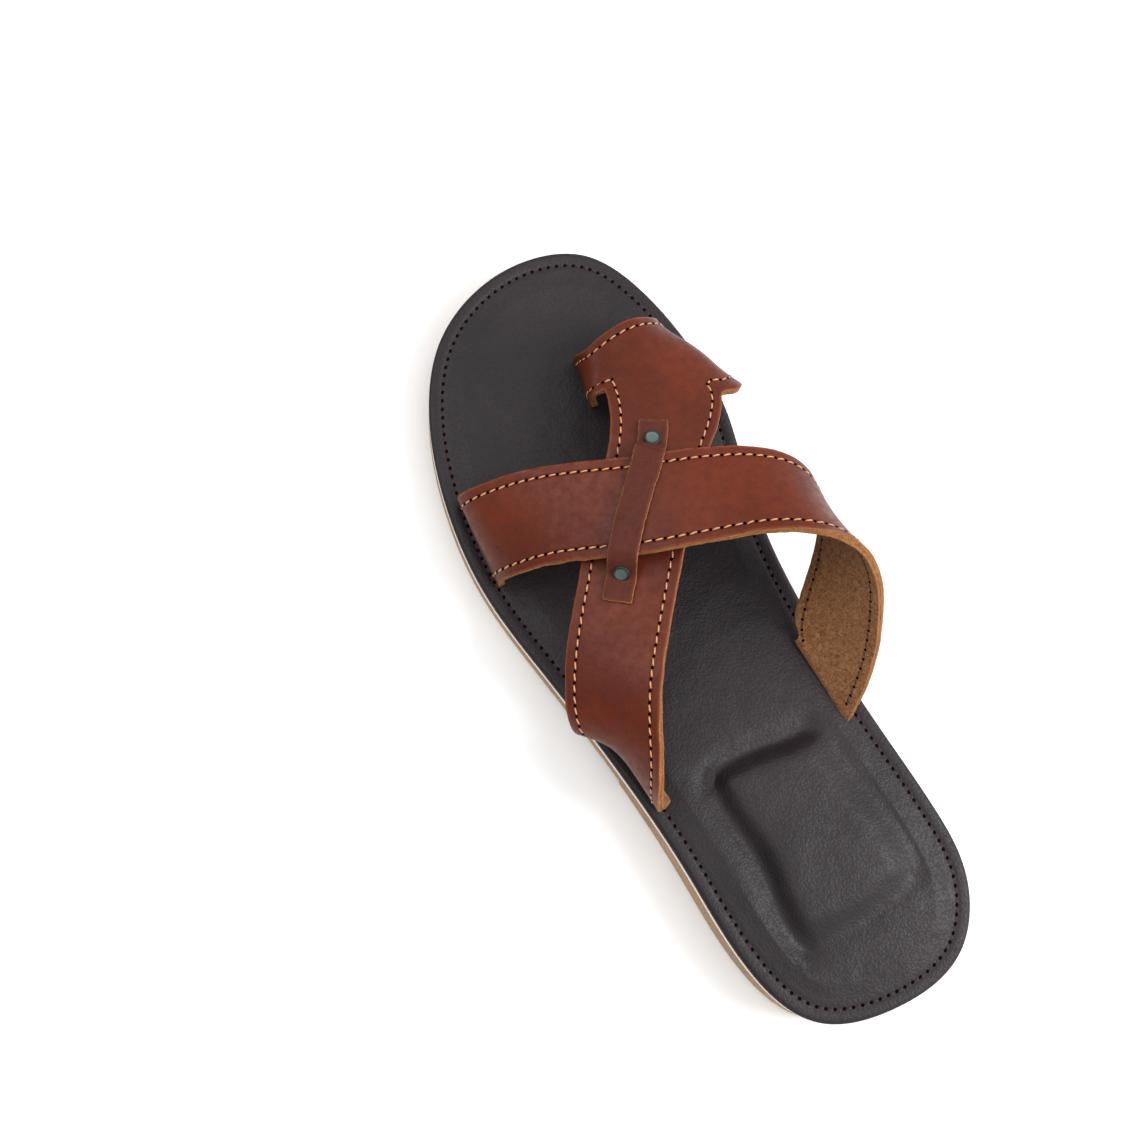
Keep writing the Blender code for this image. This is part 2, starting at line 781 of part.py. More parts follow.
def rivet(name, seat, head_at, look):
    head, tube, bore = RIVET_HEAD / 2, RIVET_TUBE / 2, RIVET_BORE / 2
    tube_end = -GAP - LINING
    crown = RIVET_HEAD_HEIGHT
    turned(name + "_cap", [
        (0.0, head_at + crown), (head * 0.6, head_at + crown * 0.92), (head * 0.92, head_at + crown * 0.6),
        (head, head_at + crown * 0.3), (head, head_at), (tube, head_at), (tube, tube_end),
        (bore, tube_end), (bore, head_at), (0.0, head_at),
    ], seat, look)
    base, top = RIVET_BASE / 2, tube_end - GAP
    pin = bore - GAP
    turned(name + "_post", [
        (0.0, head_at - GAP), (pin, head_at - GAP), (pin, top), (base, top),
        (base, top - RIVET_BASE_HEIGHT * 0.5), (base * 0.8, top - RIVET_BASE_HEIGHT),
        (0.0, top - RIVET_BASE_HEIGHT),
    ], seat, look)
    bm = bmesh.new()
    bmesh.ops.create_cone(
        bm, cap_ends=True, segments=16, radius1=tube + GAP, radius2=tube + GAP, depth=0.03, matrix=seat,
    )
    mesh = bpy.data.meshes.new(name)
    bm.to_mesh(mesh)
    bm.free()
    return mesh


def front_seam(piece):
    row = len(piece.grid) - 2
    return [(row, j) for j in range(6, len(piece.grid[0]) - 6)]


def side_seam(piece, outer):
    rows = len(piece.grid)
    tab = OUTER_TAB if outer else INNER_TAB
    wanted = min(
        range(len(piece.from_front)), key=lambda k: abs(piece.from_front[k] - (tab - SEAM_INSET)),
    )
    corner_row = rows - len(piece.from_front) + wanted
    left = piece.first + 1
    right = piece.first + len(piece.shares) - 2
    if outer:
        across = [(corner_row, j) for j in range(6, left)]
        column = left
    else:
        across = [(corner_row, j) for j in range(len(piece.grid[0]) - 7, right, -1)]
        column = right
    lengthwise = [(i, column) for i in range(corner_row, piece.tail_count + 1, -1)]
    return across + lengthwise


def turned(name, profile, place, look):
    bm = bmesh.new()
    verts = [bm.verts.new((r, 0.0, z)) for r, z in profile]
    edges = [bm.edges.new(pair) for pair in zip(verts, verts[1:])]
    bmesh.ops.spin(
        bm, geom=verts + edges, cent=(0, 0, 0), axis=(0, 0, 1), angle=2 * math.pi, steps=16,
    )
    bmesh.ops.remove_doubles(bm, verts=bm.verts, dist=1e-6)
    bmesh.ops.transform(bm, matrix=place, verts=bm.verts)
    return add(name, mesh_from(name, bm), look)


def main():
    clear_scene()
    cover_look = material("footbed_leather", (0.020, 0.016, 0.018), 0.42)
    board_look = material("fibre_board", (0.030, 0.028, 0.028), 0.85)
    foam_look = material("latex_foam", (0.55, 0.50, 0.42), 0.9)
    midsole_look = material("white_foam", (0.80, 0.72, 0.72), 0.8)
    gum_look = material("gum_rubber", (0.36, 0.22, 0.11), 0.55)
    strap_look = material("brown_leather", (0.17, 0.037, 0.018), 0.4)
    suede_look = material("suede_lining", (0.20, 0.10, 0.045), 0.95)
    thread_look = material("tan_thread", (0.62, 0.27, 0.08), 0.6)
    dark_thread_look = material("dark_thread", (0.05, 0.012, 0.014), 0.6)
    rivet_look = material("gunmetal", (0.16, 0.17, 0.16), 0.35, 1.0)

    slots = {
        "cross_outer": edge_slot(-1, placed(0, CROSS_OUTER_SLOT)[1], CROSS_WIDTH, SLOT_INSET),
        "cross_inner": edge_slot(1, placed(0, CROSS_INNER_SLOT)[1], CROSS_WIDTH, WAIST_SLOT_INSET),
        "rear": edge_slot(-1, placed(0, REAR_SLOT)[1], DIAGONAL_WIDTH, SLOT_INSET),
        "outer_tab": tab_slot(-1, OUTER_TAB_FOOT, OUTER_TAB_SLOT),
        "inner_tab": tab_slot(1, INNER_TAB, INNER_TAB_SLOT),
    }
    through = cutter("slot_cutter", [slot.through() for slot in slots.values()])
    pockets = cutter("pocket_cutter", [slot.pocket() for slot in slots.values()])

    # sole layers
    outsole = layer(
        "outsole", gum_look, [0.0],
        lambda x, y, d: toe_spring(y), lambda x, y, d: outsole_top(y), chamfer=EDGE_CHAMFER,
    )
    cut(outsole, shank_cutter())
    midsole = layer(
        "midsole", midsole_look, [0.0],
        lambda x, y, d: outsole_top(y) + GAP, lambda x, y, d: midsole_top(y),
    )
    cut(midsole, pockets)
    board = layer(
        "insole_board", board_look, [0.0],
        lambda x, y, d: midsole_top(y) + GAP, lambda x, y, d: board_top(y),
    )
    cut(board, through)

    pad_edge = [PADDING_INSET, PADDING_INSET + 0.006]

    def padding_top(x, y, inset):
        return board_top(y) + GAP + padding_lift(pad_edge[1] if inset is None else inset)

    padding = layer(
        "footbed_padding", foam_look, pad_edge,
        lambda x, y, d: board_top(y) + GAP, padding_top, middle=6,
    )
    cut(padding, through)

    def cover_low(x, y, inset):
        if inset is not None and inset < PADDING_INSET - 0.001:
            return board_top(y) + GAP
        lift = padding_lift(pad_edge[1] if inset is None else inset)
        heel = (HEEL_PAD + 2 * GAP) * smoothstep(heel_share(x, y, 1.25) * 2.2)
        return board_top(y) + 2 * GAP + lift + heel

    cover = layer(
        "footbed_cover", cover_look, [0.0, PADDING_INSET - 0.004, *pad_edge],
        cover_low, lambda x, y, d: cover_low(x, y, d) + COVER, middle=6,
    )
    cut(cover, through)

    heel_pad(foam_look)
    thread("footbed_thread", footbed_seam(), dark_thread_look)

    # straps
    cross = Ribbon(CROSS_ROUTE, CROSS_WIDTH, slots["cross_outer"], slots["cross_inner"])
    count = 44
    body = [cross.line(cross.length * k / count) for k in range(count + 1)]
    start = tail_lines(slots["cross_outer"])
    finish = tail_lines(slots["cross_inner"])[::-1]
    lines = start[:-1] + body + finish[1:]
    face_lines(lines)
    cross_upper = strap("cross_strap_upper", lines, 0.0, UPPER, strap_look)
    trimmed = lines[LINING_START:-LINING_START]
    strap("cross_strap_lining", trimmed, -GAP - LINING, -GAP, suede_look)
    for name, share in (("front", SEAM_INSET / CROSS_WIDTH), ("rear", 1 - SEAM_INSET / CROSS_WIDTH)):
        points = [line.at(share, THREAD_LIFT) for line in body[1:-1]]
        thread("cross_strap_thread_" + name, points, thread_look)

    toe = ToeStrap(slots["rear"], slots["outer_tab"], slots["inner_tab"])
    upper = toe.solid("toe_strap_upper", 0.0, UPPER, True, 0, strap_look)
    lining = toe.solid("toe_strap_lining", -GAP, LINING, False, LINING_START, suede_look)
    thread("toe_strap_thread_front", toe.seam(front_seam(toe)), thread_look)
    thread("toe_strap_thread_outer", toe.seam(side_seam(toe, True)), thread_look)
    thread("toe_strap_thread_inner", toe.seam(side_seam(toe, False)), thread_look)

    # keeper and rivets
    keeper = Keeper(toe, cross, cross_upper)
    keeper_strap = keeper.solid(strap_look)
    half = KEEPER_LENGTH / 2
    holes = []
    for name, offset in (("front_rivet", half - FRONT_RIVET), ("rear_rivet", REAR_RIVET - half)):
        seat, head_at = keeper.seat(offset)
        holes.append(rivet(name, seat, head_at, rivet_look))
    drill = cutter("rivet_holes", holes)
    for piece in (keeper_strap, upper, lining):
        cut(piece, drill)


main()
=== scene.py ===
import math

import bmesh
import bpy
import numpy as np
from mathutils import Matrix, Vector, kdtree, noise
from mathutils.bvhtree import BVHTree


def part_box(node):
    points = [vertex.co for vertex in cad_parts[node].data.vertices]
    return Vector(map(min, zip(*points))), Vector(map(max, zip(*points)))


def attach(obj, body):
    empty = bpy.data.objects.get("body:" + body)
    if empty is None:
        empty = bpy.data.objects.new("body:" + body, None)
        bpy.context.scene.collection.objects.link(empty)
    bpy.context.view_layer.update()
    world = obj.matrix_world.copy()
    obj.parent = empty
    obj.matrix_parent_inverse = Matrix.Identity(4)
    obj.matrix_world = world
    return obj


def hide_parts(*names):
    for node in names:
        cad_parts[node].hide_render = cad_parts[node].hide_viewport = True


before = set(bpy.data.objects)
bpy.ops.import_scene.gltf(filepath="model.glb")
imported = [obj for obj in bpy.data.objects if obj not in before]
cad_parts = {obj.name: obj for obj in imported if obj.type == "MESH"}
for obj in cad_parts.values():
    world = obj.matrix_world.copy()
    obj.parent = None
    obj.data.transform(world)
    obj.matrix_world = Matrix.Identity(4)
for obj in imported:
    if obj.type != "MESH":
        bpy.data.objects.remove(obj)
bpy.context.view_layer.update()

mm = 0.001


def smooth(share):
    s = np.clip(share, 0.0, 1.0)
    return s * s * (3 - 2 * s)


def bell(distance, width):
    return np.exp(-(distance / width) ** 2)


# a smooth curve through points of any size; the first three values set its spacing
def curveThrough(points, closed=False):
    p = np.array(points, dtype=float)
    if closed:
        p = np.vstack([p, p[:1]])
    n = len(p)
    step = np.linalg.norm(np.diff(p[:, :3], axis=0), axis=1)
    knots = np.concatenate([[0.0], np.cumsum(step)])
    rows = np.zeros((n, n))
    right = np.zeros_like(p)
    for i in range(1, n - 1):
        rows[i, i - 1:i + 2] = 1 / step[i - 1], 2 / step[i - 1] + 2 / step[i], 1 / step[i]
        right[i] = 3 * ((p[i] - p[i - 1]) / step[i - 1] ** 2 + (p[i + 1] - p[i]) / step[i] ** 2)
    if closed:
        rows[0, [0, 1, n - 2]] = 2 / step[0] + 2 / step[-1], 1 / step[0], 1 / step[-1]
        right[0] = 3 * ((p[1] - p[0]) / step[0] ** 2 + (p[0] - p[-2]) / step[-1] ** 2)
        rows[-1, [0, -1]] = 1, -1
    else:
        rows[0, [0, 1]] = 2 / step[0], 1 / step[0]
        right[0] = 3 * (p[1] - p[0]) / step[0] ** 2
        rows[-1, [-2, -1]] = 1 / step[-1], 2 / step[-1]
        right[-1] = 3 * (p[-1] - p[-2]) / step[-1] ** 2
    slope = np.linalg.solve(rows, right)

    def at(place):
        place = np.atleast_1d(place)
        i = np.clip(np.searchsorted(knots, place, "right") - 1, 0, n - 2)
        h = step[i][:, None]
        s = ((place - knots[i]) / step[i])[:, None]
        return (
            p[i] * (1 + 2 * s) * (1 - s) ** 2
            + slope[i] * h * s * (1 - s) ** 2
            + p[i + 1] * s * s * (3 - 2 * s)
            - slope[i + 1] * h * s * s * (1 - s)
        )

    return at, knots[-1]


def fractal(points, scale, octaves=3, seed=0.0):
    offset = Vector((seed, seed * 0.7, -seed))
    return np.array([
        noise.fractal(Vector(p) * scale + offset, 1.0, 2.0, octaves) for p in points
    ])


# ---- the sole's plan, its layers and heights
sole = {
    "heelCentre": 0.045,
    "gap": 0.3 * mm,
    "forepart": 7.5 * mm,
    "pitch": 7.5 * mm,
    "spring": 3.0 * mm,
    "midsole": 3.0 * mm,
    "board": 1.6 * mm,
    "cover": 1.2 * mm,
    "heelLength": 0.096,
    "breastDepth": 6.0 * mm,
    "breastSlant": 0.010,
    "treadStart": 0.157,
    "rows": 400,
    "core": 0.012,
    "spineEnds": 0.030,
    # shares of the heel's or ball's width, and of the length
    "heelOuter": [(-0.32, 0.028), (-0.47, 0.118), (-0.524, 0.235), (-0.60, 0.373)],
    "ballOuter": [(-0.553, 0.518), (-0.618, 0.640), (-0.617, 0.740), (-0.548, 0.859), (-0.413, 0.944)],
    "toe": [(-0.212, 0.990), (-0.019, 1.0), (0.163, 0.979)],
    "ballInner": [(0.284, 0.917), (0.360, 0.819), (0.378, 0.736), (0.341, 0.645), (0.310, 0.543)],
    "heelInner": [(0.403, 0.428), (0.448, 0.290), (0.500, 0.181), (0.500, 0.101), (0.345, 0.025)],
    "heelWidth": 0.081,
    "ballWidth": 0.104,
}
soleLow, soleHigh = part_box("midsole")
sole["length"] = soleHigh.y - soleLow.y


def solePlan():
    length = sole["length"]
    points = [(0.0, 0.0)] + [(x * sole["heelWidth"], y * length) for x, y in sole["heelOuter"]]
    for part in ("ballOuter", "toe", "ballInner"):
        points += [(x * sole["ballWidth"], y * length) for x, y in sole[part]]
    points += [(x * sole["heelWidth"], y * length) for x, y in sole["heelInner"]]
    at, around = curveThrough([(x, y - sole["heelCentre"], 0.0) for x, y in points], closed=True)
    dense = at(np.linspace(0.0, around, 24001)[:-1])[:, :2]
    tip = int(np.argmax(dense[:, 1]))
    heel = int(np.argmin(dense[:, 1]))
    loop = np.roll(dense, -heel, axis=0)
    tip = (tip - heel) % len(dense)
    return loop[:tip + 1], np.vstack([loop[tip:], loop[:1]])[::-1]


planSides = dict(zip((-1, 1), solePlan()))
heelY = float(planSides[-1][0, 1])
toeY = float(planSides[-1][-1, 1])


def edgeX(side, y):
    line = planSides[side]
    return np.interp(y, line[:, 1], line[:, 0])


def along(y):
    return y + sole["heelCentre"]


def toeSpring(y):
    start = 0.84 * sole["length"]
    return sole["spring"] * np.maximum(0.0, (along(y) - start) / (sole["length"] - start)) ** 2


def outsoleTop(y):
    return sole["forepart"] + sole["pitch"] * (1 - smooth((along(y) - 0.05) / 0.12)) + toeSpring(y)


def midsoleTop(y):
    return outsoleTop(y) + sole["gap"] + sole["midsole"]


def boardTop(y):
    return midsoleTop(y) + sole["gap"] + sole["board"]


def footbed(y):
    return boardTop(y) + sole["gap"] + sole["cover"]


# rows across the sole, closer together where its ends turn; each has an edge point,
# the way inward from it, and the point of the spine that it leans to
def soleRows():
    theta = np.linspace(0.0, math.pi, sole["rows"] + 1)
    y = heelY + (toeY - heelY) * (0.06 * theta / math.pi + 0.94 * (1 - np.cos(theta)) / 2)
    sides = {}
    for side in (-1, 1):
        line = planSides[side]
        arc = np.concatenate([[0.0], np.cumsum(np.linalg.norm(np.diff(line, axis=0), axis=1))])
        place = np.interp(y, line[:, 1], arc)
        point = np.stack([np.interp(place, arc, line[:, k]) for k in (0, 1)], axis=1)
        reach = 0.4 * mm
        ahead = np.stack([np.interp(place + reach, arc, line[:, k]) for k in (0, 1)], axis=1)
        behind = np.stack([np.interp(place - reach, arc, line[:, k]) for k in (0, 1)], axis=1)
        heading = ahead - behind
        heading /= np.linalg.norm(heading, axis=1)[:, None]
        inward = np.stack([heading[:, 1], -heading[:, 0]], axis=1) * -side
        inward[0], inward[-1] = (0, 1), (0, -1)
        sides[side] = {"point": point, "inward": inward, "arc": place, "length": arc[-1]}
    low, high = heelY + sole["spineEnds"], toeY - sole["spineEnds"]
    spineY = low + (high - low) * (y - heelY) / (toeY - heelY)
    spineX = (edgeX(-1, spineY) + edgeX(1, spineY)) / 2
    return sides, np.stack([spineX, spineY], axis=1)


soleSides, spine = soleRows()


# plan points of one side's column: depth 0 to 1 runs inward over the rim, 1 to 2 on to the spine
def column(side, depth):
    rows = soleSides[side]
    inset = min(depth, 1.0) * sole["core"]
    rim = rows["point"] + rows["inward"] * inset
    return rim + (spine - rim) * max(depth - 1.0, 0.0)


def finish(bm, name, look, angle=40):
    bmesh.ops.recalc_face_normals(bm, faces=bm.faces)
    mesh = bpy.data.meshes.new(name)
    bm.to_mesh(mesh)
    bm.free()
    mesh.shade_smooth()
    mesh.set_sharp_from_angle(angle=math.radians(angle))
    piece = bpy.data.objects.new(name, mesh)
    bpy.context.scene.collection.objects.link(piece)
    for each in look if isinstance(look, list) else [look]:
        mesh.materials.append(each)
    return piece


def gridFrom(places):
    rows, columns = len(places) - 1, len(places[0]) - 1
    bm = bmesh.new()
    bmesh.ops.create_grid(bm, x_segments=columns, y_segments=rows, size=1.0)
    for vert in bm.verts:
        i = round((vert.co.y + 1) / 2 * rows)
        j = round((vert.co.x + 1) / 2 * columns)
        vert.co = places[i][j]
    return bm


# a closed layer of the sole; section lists (depth, share of the height) from the spine's
# foot round one edge to the spine's top
def soleLayer(name, section, low, high, look, relief=None, rowStep=1):
    half = []
    for side in (-1, 1):
        columns = []
        for depth, share in section:
            plan = column(side, depth)[::rowStep]
            z = low(plan[:, 0], plan[:, 1]) * (1 - share) + high(plan[:, 0], plan[:, 1]) * share
            if relief is not None and share > 0.5:
                inset = np.full(len(plan), min(depth, 1.0) * sole["core"])
                z = z + relief(plan, inset, side, depth)
            columns.append(np.column_stack([plan, z]))
        half.append(np.stack(columns, axis=1))
    places = np.concatenate([half[0], half[1][:, -2::-1]], axis=1)
    bm = gridFrom(places)
    bmesh.ops.remove_doubles(bm, verts=bm.verts, dist=0.01 * mm)
    return finish(bm, name, look)


# ---- materials
def node(tree, kind, inputs=(), **settings):
    made = tree.nodes.new(kind)
    for key, value in settings.items():
        setattr(made, key, value)
    for key, value in dict(inputs).items():
        socket = made.inputs[key]
        if isinstance(value, bpy.types.NodeSocket):
            tree.links.new(value, socket)
        else:
            socket.default_value = value
    return made


def math2(tree, operation, a, b=0.0, clamp=False):
    return node(tree, "ShaderNodeMath", {0: a, 1: b}, operation=operation, use_clamp=clamp).outputs[0]


def mixColour(tree, factor, a, b, blend="MIX"):
    made = node(tree, "ShaderNodeMix", data_type="RGBA", blend_type=blend)
    for socket, value in ((made.inputs[0], factor), (made.inputs[6], a), (made.inputs[7], b)):
        if isinstance(value, bpy.types.NodeSocket):
            tree.links.new(value, socket)
        else:
            socket.default_value = (*value, 1.0) if isinstance(value, tuple) else value
    return made.outputs[2]


def ramp(tree, value, low, high, toLow=0.0, toHigh=1.0):
    return node(
        tree, "ShaderNodeMapRange", {0: value, 1: low, 2: high, 3: toLow, 4: toHigh},
        interpolation_type="SMOOTHSTEP",
    ).outputs[0]


def group(name, inputs, outputs, build):
    tree = bpy.data.node_groups.new(name, "ShaderNodeTree")
    for label, value in inputs.items():
        kind = "NodeSocketVector" if isinstance(value, tuple) else "NodeSocketFloat"
        socket = tree.interface.new_socket(label, in_out="INPUT", socket_type=kind)
        socket.default_value = value
    for label in outputs:
        tree.interface.new_socket(label, in_out="OUTPUT", socket_type="NodeSocketFloat")
    given = tree.nodes.new("NodeGroupInput").outputs
    found = build(tree, given)
    result = tree.nodes.new("NodeGroupOutput")
    for label, socket in zip(outputs, found):
        tree.links.new(socket, result.inputs[label])
    return tree


# pebbled skin with fine creases between the pebbles
def buildPebbles(tree, given):
    bend = node(tree, "ShaderNodeTexNoise", {"Vector": given["Place"], "Scale": 260.0, "Detail": 2.0})
    shift = node(
        tree, "ShaderNodeVectorMath", {0: bend.outputs["Color"], "Scale": given["Bend"]}, operation="SCALE",
    )
    place = node(
        tree, "ShaderNodeVectorMath", {0: given["Place"], 1: shift.outputs[0]}, operation="ADD",
    ).outputs[0]
    cells = node(
        tree, "ShaderNodeTexVoronoi", {"Vector": place, "Scale": given["Scale"], "Smoothness": 0.35},
        feature="SMOOTH_F1",
    )
    fine = node(
        tree, "ShaderNodeTexVoronoi", {"Vector": place, "Scale": math2(tree, "MULTIPLY", given["Scale"], 2.7)},
    )
    wave = node(
        tree, "ShaderNodeTexNoise",
        {"Vector": place, "Scale": math2(tree, "MULTIPLY", given["Scale"], 0.45), "Detail": 4.0},
    )
    height = math2(tree, "MULTIPLY", cells.outputs["Distance"], -0.8)
    height = math2(tree, "ADD", height, math2(tree, "MULTIPLY", fine.outputs["Distance"], -0.25))
    height = math2(tree, "ADD", height, math2(tree, "MULTIPLY", wave.outputs[0], 0.9))
    crease = ramp(tree, cells.outputs["Distance"], 0.35, 0.75)
    return height, crease


# uneven tone: broad clouds and small blotches
def buildMottle(tree, given):
    broad = node(
        tree, "ShaderNodeTexNoise", {"Vector": given["Place"], "Scale": given["Scale"], "Detail": 3.0},
    )
    small = node(
        tree, "ShaderNodeTexNoise",
        {"Vector": given["Place"], "Scale": math2(tree, "MULTIPLY", given["Scale"], 9.0), "Detail": 5.0,
         "Roughness": 0.65},
    )
    clouds = ramp(tree, broad.outputs[0], 0.32, 0.68)
    blotches = ramp(tree, small.outputs[0], 0.3, 0.72)
    return clouds, blotches


# loose fibres of a cut or buffed face
def buildFibres(tree, given):
    long = node(
        tree, "ShaderNodeTexNoise",
        {
            "Vector": given["Place"], "Scale": given["Scale"], "Detail": 6.0, "Roughness": 0.7,
            "Distortion": 1.2,
        },
    )
    specks = node(
        tree, "ShaderNodeTexNoise",
        {"Vector": given["Place"], "Scale": math2(tree, "MULTIPLY", given["Scale"], 3.3), "Detail": 4.0},
    )
    height = math2(tree, "ADD", long.outputs[0], math2(tree, "MULTIPLY", specks.outputs[0], 0.6))
    tone = ramp(tree, height, 0.6, 1.0)
    return height, tone


pebbles = group(
    "pebbles", {"Place": (0, 0, 0), "Scale": 800.0, "Bend": 0.0006}, ["Height", "Crease"], buildPebbles,
)
mottle = group("mottle", {"Place": (0, 0, 0), "Scale": 40.0}, ["Clouds", "Blotches"], buildMottle)
fibres = group("fibres", {"Place": (0, 0, 0), "Scale": 1200.0}, ["Height", "Tone"], buildFibres)


def use(tree, which, place, **values):
    made = tree.nodes.new("ShaderNodeGroup")
    made.node_tree = which
    tree.links.new(place, made.inputs["Place"])
    for key, value in values.items():
        made.inputs[key].default_value = value
    return made.outputs


def surface(name, build, **fixed):
    made = bpy.data.materials.new(name)
    made.use_nodes = True
    tree = made.node_tree
    shader = tree.nodes["Principled BSDF"]
    place = tree.nodes.new("ShaderNodeTexCoord").outputs["Object"]
    for key, value in fixed.items():
        shader.inputs[key.replace("_", " ")].default_value = value
    colour, roughness, height, strength, distance = build(tree, place)
    tree.links.new(colour, shader.inputs["Base Color"])
    if roughness is not None:
        tree.links.new(roughness, shader.inputs["Roughness"])
    bump = node(tree, "ShaderNodeBump", {"Height": height, "Strength": strength, "Distance": distance})
    tree.links.new(bump.outputs[0], shader.inputs["Normal"])
    return made


def attribute(tree, name):
    return node(tree, "ShaderNodeAttribute", attribute_name=name).outputs["Fac"]


footbedLook = {
    "dark": (0.0062, 0.0038, 0.0044),
    "light": (0.0150, 0.0100, 0.0112),
    "wine": (0.017, 0.0065, 0.0125),
    "pebble": 1150.0,
}


def buildFootbed(tree, place):
    grain = use(tree, pebbles, place, Scale=footbedLook["pebble"])
    tone = use(tree, mottle, place, Scale=22.0)
    colour = mixColour(tree, tone["Clouds"], footbedLook["dark"], footbedLook["light"])
    colour = mixColour(
        tree, math2(tree, "MULTIPLY", tone["Blotches"], 0.35), colour, footbedLook["wine"],
    )
    # painted shade: the colour is darkened in the creases between the pebbles, where the bump also dips
    colour = mixColour(tree, math2(tree, "MULTIPLY", grain["Crease"], 0.35), colour, (0.006, 0.005, 0.006))
    rough = math2(tree, "ADD", math2(tree, "MULTIPLY", tone["Blotches"], 0.10), 0.40)
    rough = math2(tree, "ADD", rough, math2(tree, "MULTIPLY", grain["Crease"], 0.12))
    return colour, rough, grain["Height"], 0.5, 0.24 * mm


strapLook = {
    "base": (0.092, 0.0138, 0.0044),
    "dark": (0.038, 0.0070, 0.0032),
    "warm": (0.128, 0.0205, 0.0060),
    "edgeTone": (0.20, 0.050, 0.015),
    "pebble": 1500.0,
}


def buildStrap(tree, place):
    grain = use(tree, pebbles, place, Scale=strapLook["pebble"], Bend=0.0004)
    tone = use(tree, mottle, place, Scale=36.0)
    edge = attribute(tree, "edge")
    seam = attribute(tree, "seam")
    colour = mixColour(tree, tone["Clouds"], strapLook["base"], strapLook["warm"])
    colour = mixColour(tree, math2(tree, "MULTIPLY", tone["Blotches"], 0.40), colour, strapLook["dark"])
    scratches = node(
        tree, "ShaderNodeTexWave",
        {"Vector": place, "Scale": 95.0, "Distortion": 28.0, "Detail": 3.0, "Detail Scale": 0.6},
        bands_direction="DIAGONAL",
    )
    lines = ramp(tree, scratches.outputs["Fac"], 0.985, 1.0, 0.0, 0.30)
    colour = mixColour(tree, lines, colour, strapLook["warm"])
    nearEdge = ramp(tree, edge, 0.0, 1.1 * mm, 1.0, 0.0)
    colour = mixColour(tree, math2(tree, "MULTIPLY", nearEdge, 0.75), colour, strapLook["edgeTone"])
    # along the seams the leather is pressed in, and its colour there is darkened as painted shade in that
    # groove
    dent = ramp(tree, seam, 0.0, 1.1 * mm, 1.0, 0.0)
    colour = mixColour(tree, math2(tree, "MULTIPLY", dent, 0.45), colour, strapLook["dark"])
    rough = math2(tree, "ADD", math2(tree, "MULTIPLY", tone["Blotches"], 0.16), 0.36)
    height = math2(tree, "MULTIPLY", grain["Height"], 0.16)
    height = math2(tree, "SUBTRACT", height, math2(tree, "MULTIPLY", dent, 0.9))
    height = math2(tree, "SUBTRACT", height, math2(tree, "MULTIPLY", nearEdge, 0.5))
    return colour, rough, height, 0.8, 0.30 * mm


def buildKeeper(tree, place):
    colour, rough, height, share, distance = buildStrap(tree, place)
    nap = use(tree, fibres, place, Scale=1200.0)
    colour = mixColour(tree, 0.5, colour, (0.042, 0.0095, 0.0072))
    colour = mixColour(tree, math2(tree, "MULTIPLY", nap["Tone"], 0.25), colour, (0.13, 0.042, 0.022))
    return colour, math2(tree, "ADD", rough, 0.16), height, share, distance


def buildRaw(tree, place):
    nap = use(tree, fibres, place, Scale=1500.0)
    tone = use(tree, mottle, place, Scale=160.0)
    colour = mixColour(tree, nap["Tone"], (0.17, 0.055, 0.018), (0.52, 0.24, 0.085))
    colour = mixColour(tree, math2(tree, "MULTIPLY", tone["Clouds"], 0.5), colour, (0.28, 0.10, 0.032))
    return colour, None, nap["Height"], 1.0, 0.5 * mm


def buildSuede(tree, place):
    nap = use(tree, fibres, place, Scale=700.0)
    tone = use(tree, mottle, place, Scale=60.0)
    colour = mixColour(tree, nap["Tone"], (0.130, 0.050, 0.018), (0.430, 0.200, 0.082))
    colour = mixColour(tree, math2(tree, "MULTIPLY", tone["Blotches"], 0.4), colour, (0.165, 0.066, 0.025))
    return colour, None, nap["Height"], 1.0, 0.55 * mm


def buildThread(dark, light):
    def build(tree, place):
        twist = node(
            tree, "ShaderNodeTexWave", {"Vector": place, "Scale": 900.0, "Distortion": 2.0},
            bands_direction="DIAGONAL",
        )
        tone = use(tree, mottle, place, Scale=150.0)
        # painted shade and highlight: the colour follows the twist's bump, darker in its grooves and lighter
        # on its crests
        colour = mixColour(tree, twist.outputs["Fac"], dark, light)
        colour = mixColour(tree, math2(tree, "MULTIPLY", tone["Blotches"], 0.35), colour, dark)
        return colour, None, twist.outputs["Fac"], 0.7, 0.12 * mm
    return build


def buildFoam(tree, place):
    pores = node(tree, "ShaderNodeTexVoronoi", {"Vector": place, "Scale": 1700.0})
    tone = use(tree, mottle, place, Scale=70.0)
    colour = mixColour(tree, tone["Clouds"], (0.74, 0.64, 0.60), (0.86, 0.78, 0.74))
    colour = mixColour(tree, math2(tree, "MULTIPLY", tone["Blotches"], 0.35), colour, (0.70, 0.52, 0.48))
    pits = ramp(tree, pores.outputs["Distance"], 0.12, 0.45)
    # painted shade: the colour darkens in the pores, where the bump also dips
    colour = mixColour(
        tree, math2(tree, "SUBTRACT", 0.35, math2(tree, "MULTIPLY", pits, 0.35)), colour, (0.52, 0.42, 0.38),
    )
    return colour, None, pits, 0.6, 0.2 * mm


def buildBoard(tree, place):
    nap = use(tree, fibres, place, Scale=1100.0)
    colour = mixColour(tree, nap["Tone"], (0.010, 0.009, 0.009), (0.045, 0.040, 0.040))
    return colour, None, nap["Height"], 0.8, 0.3 * mm


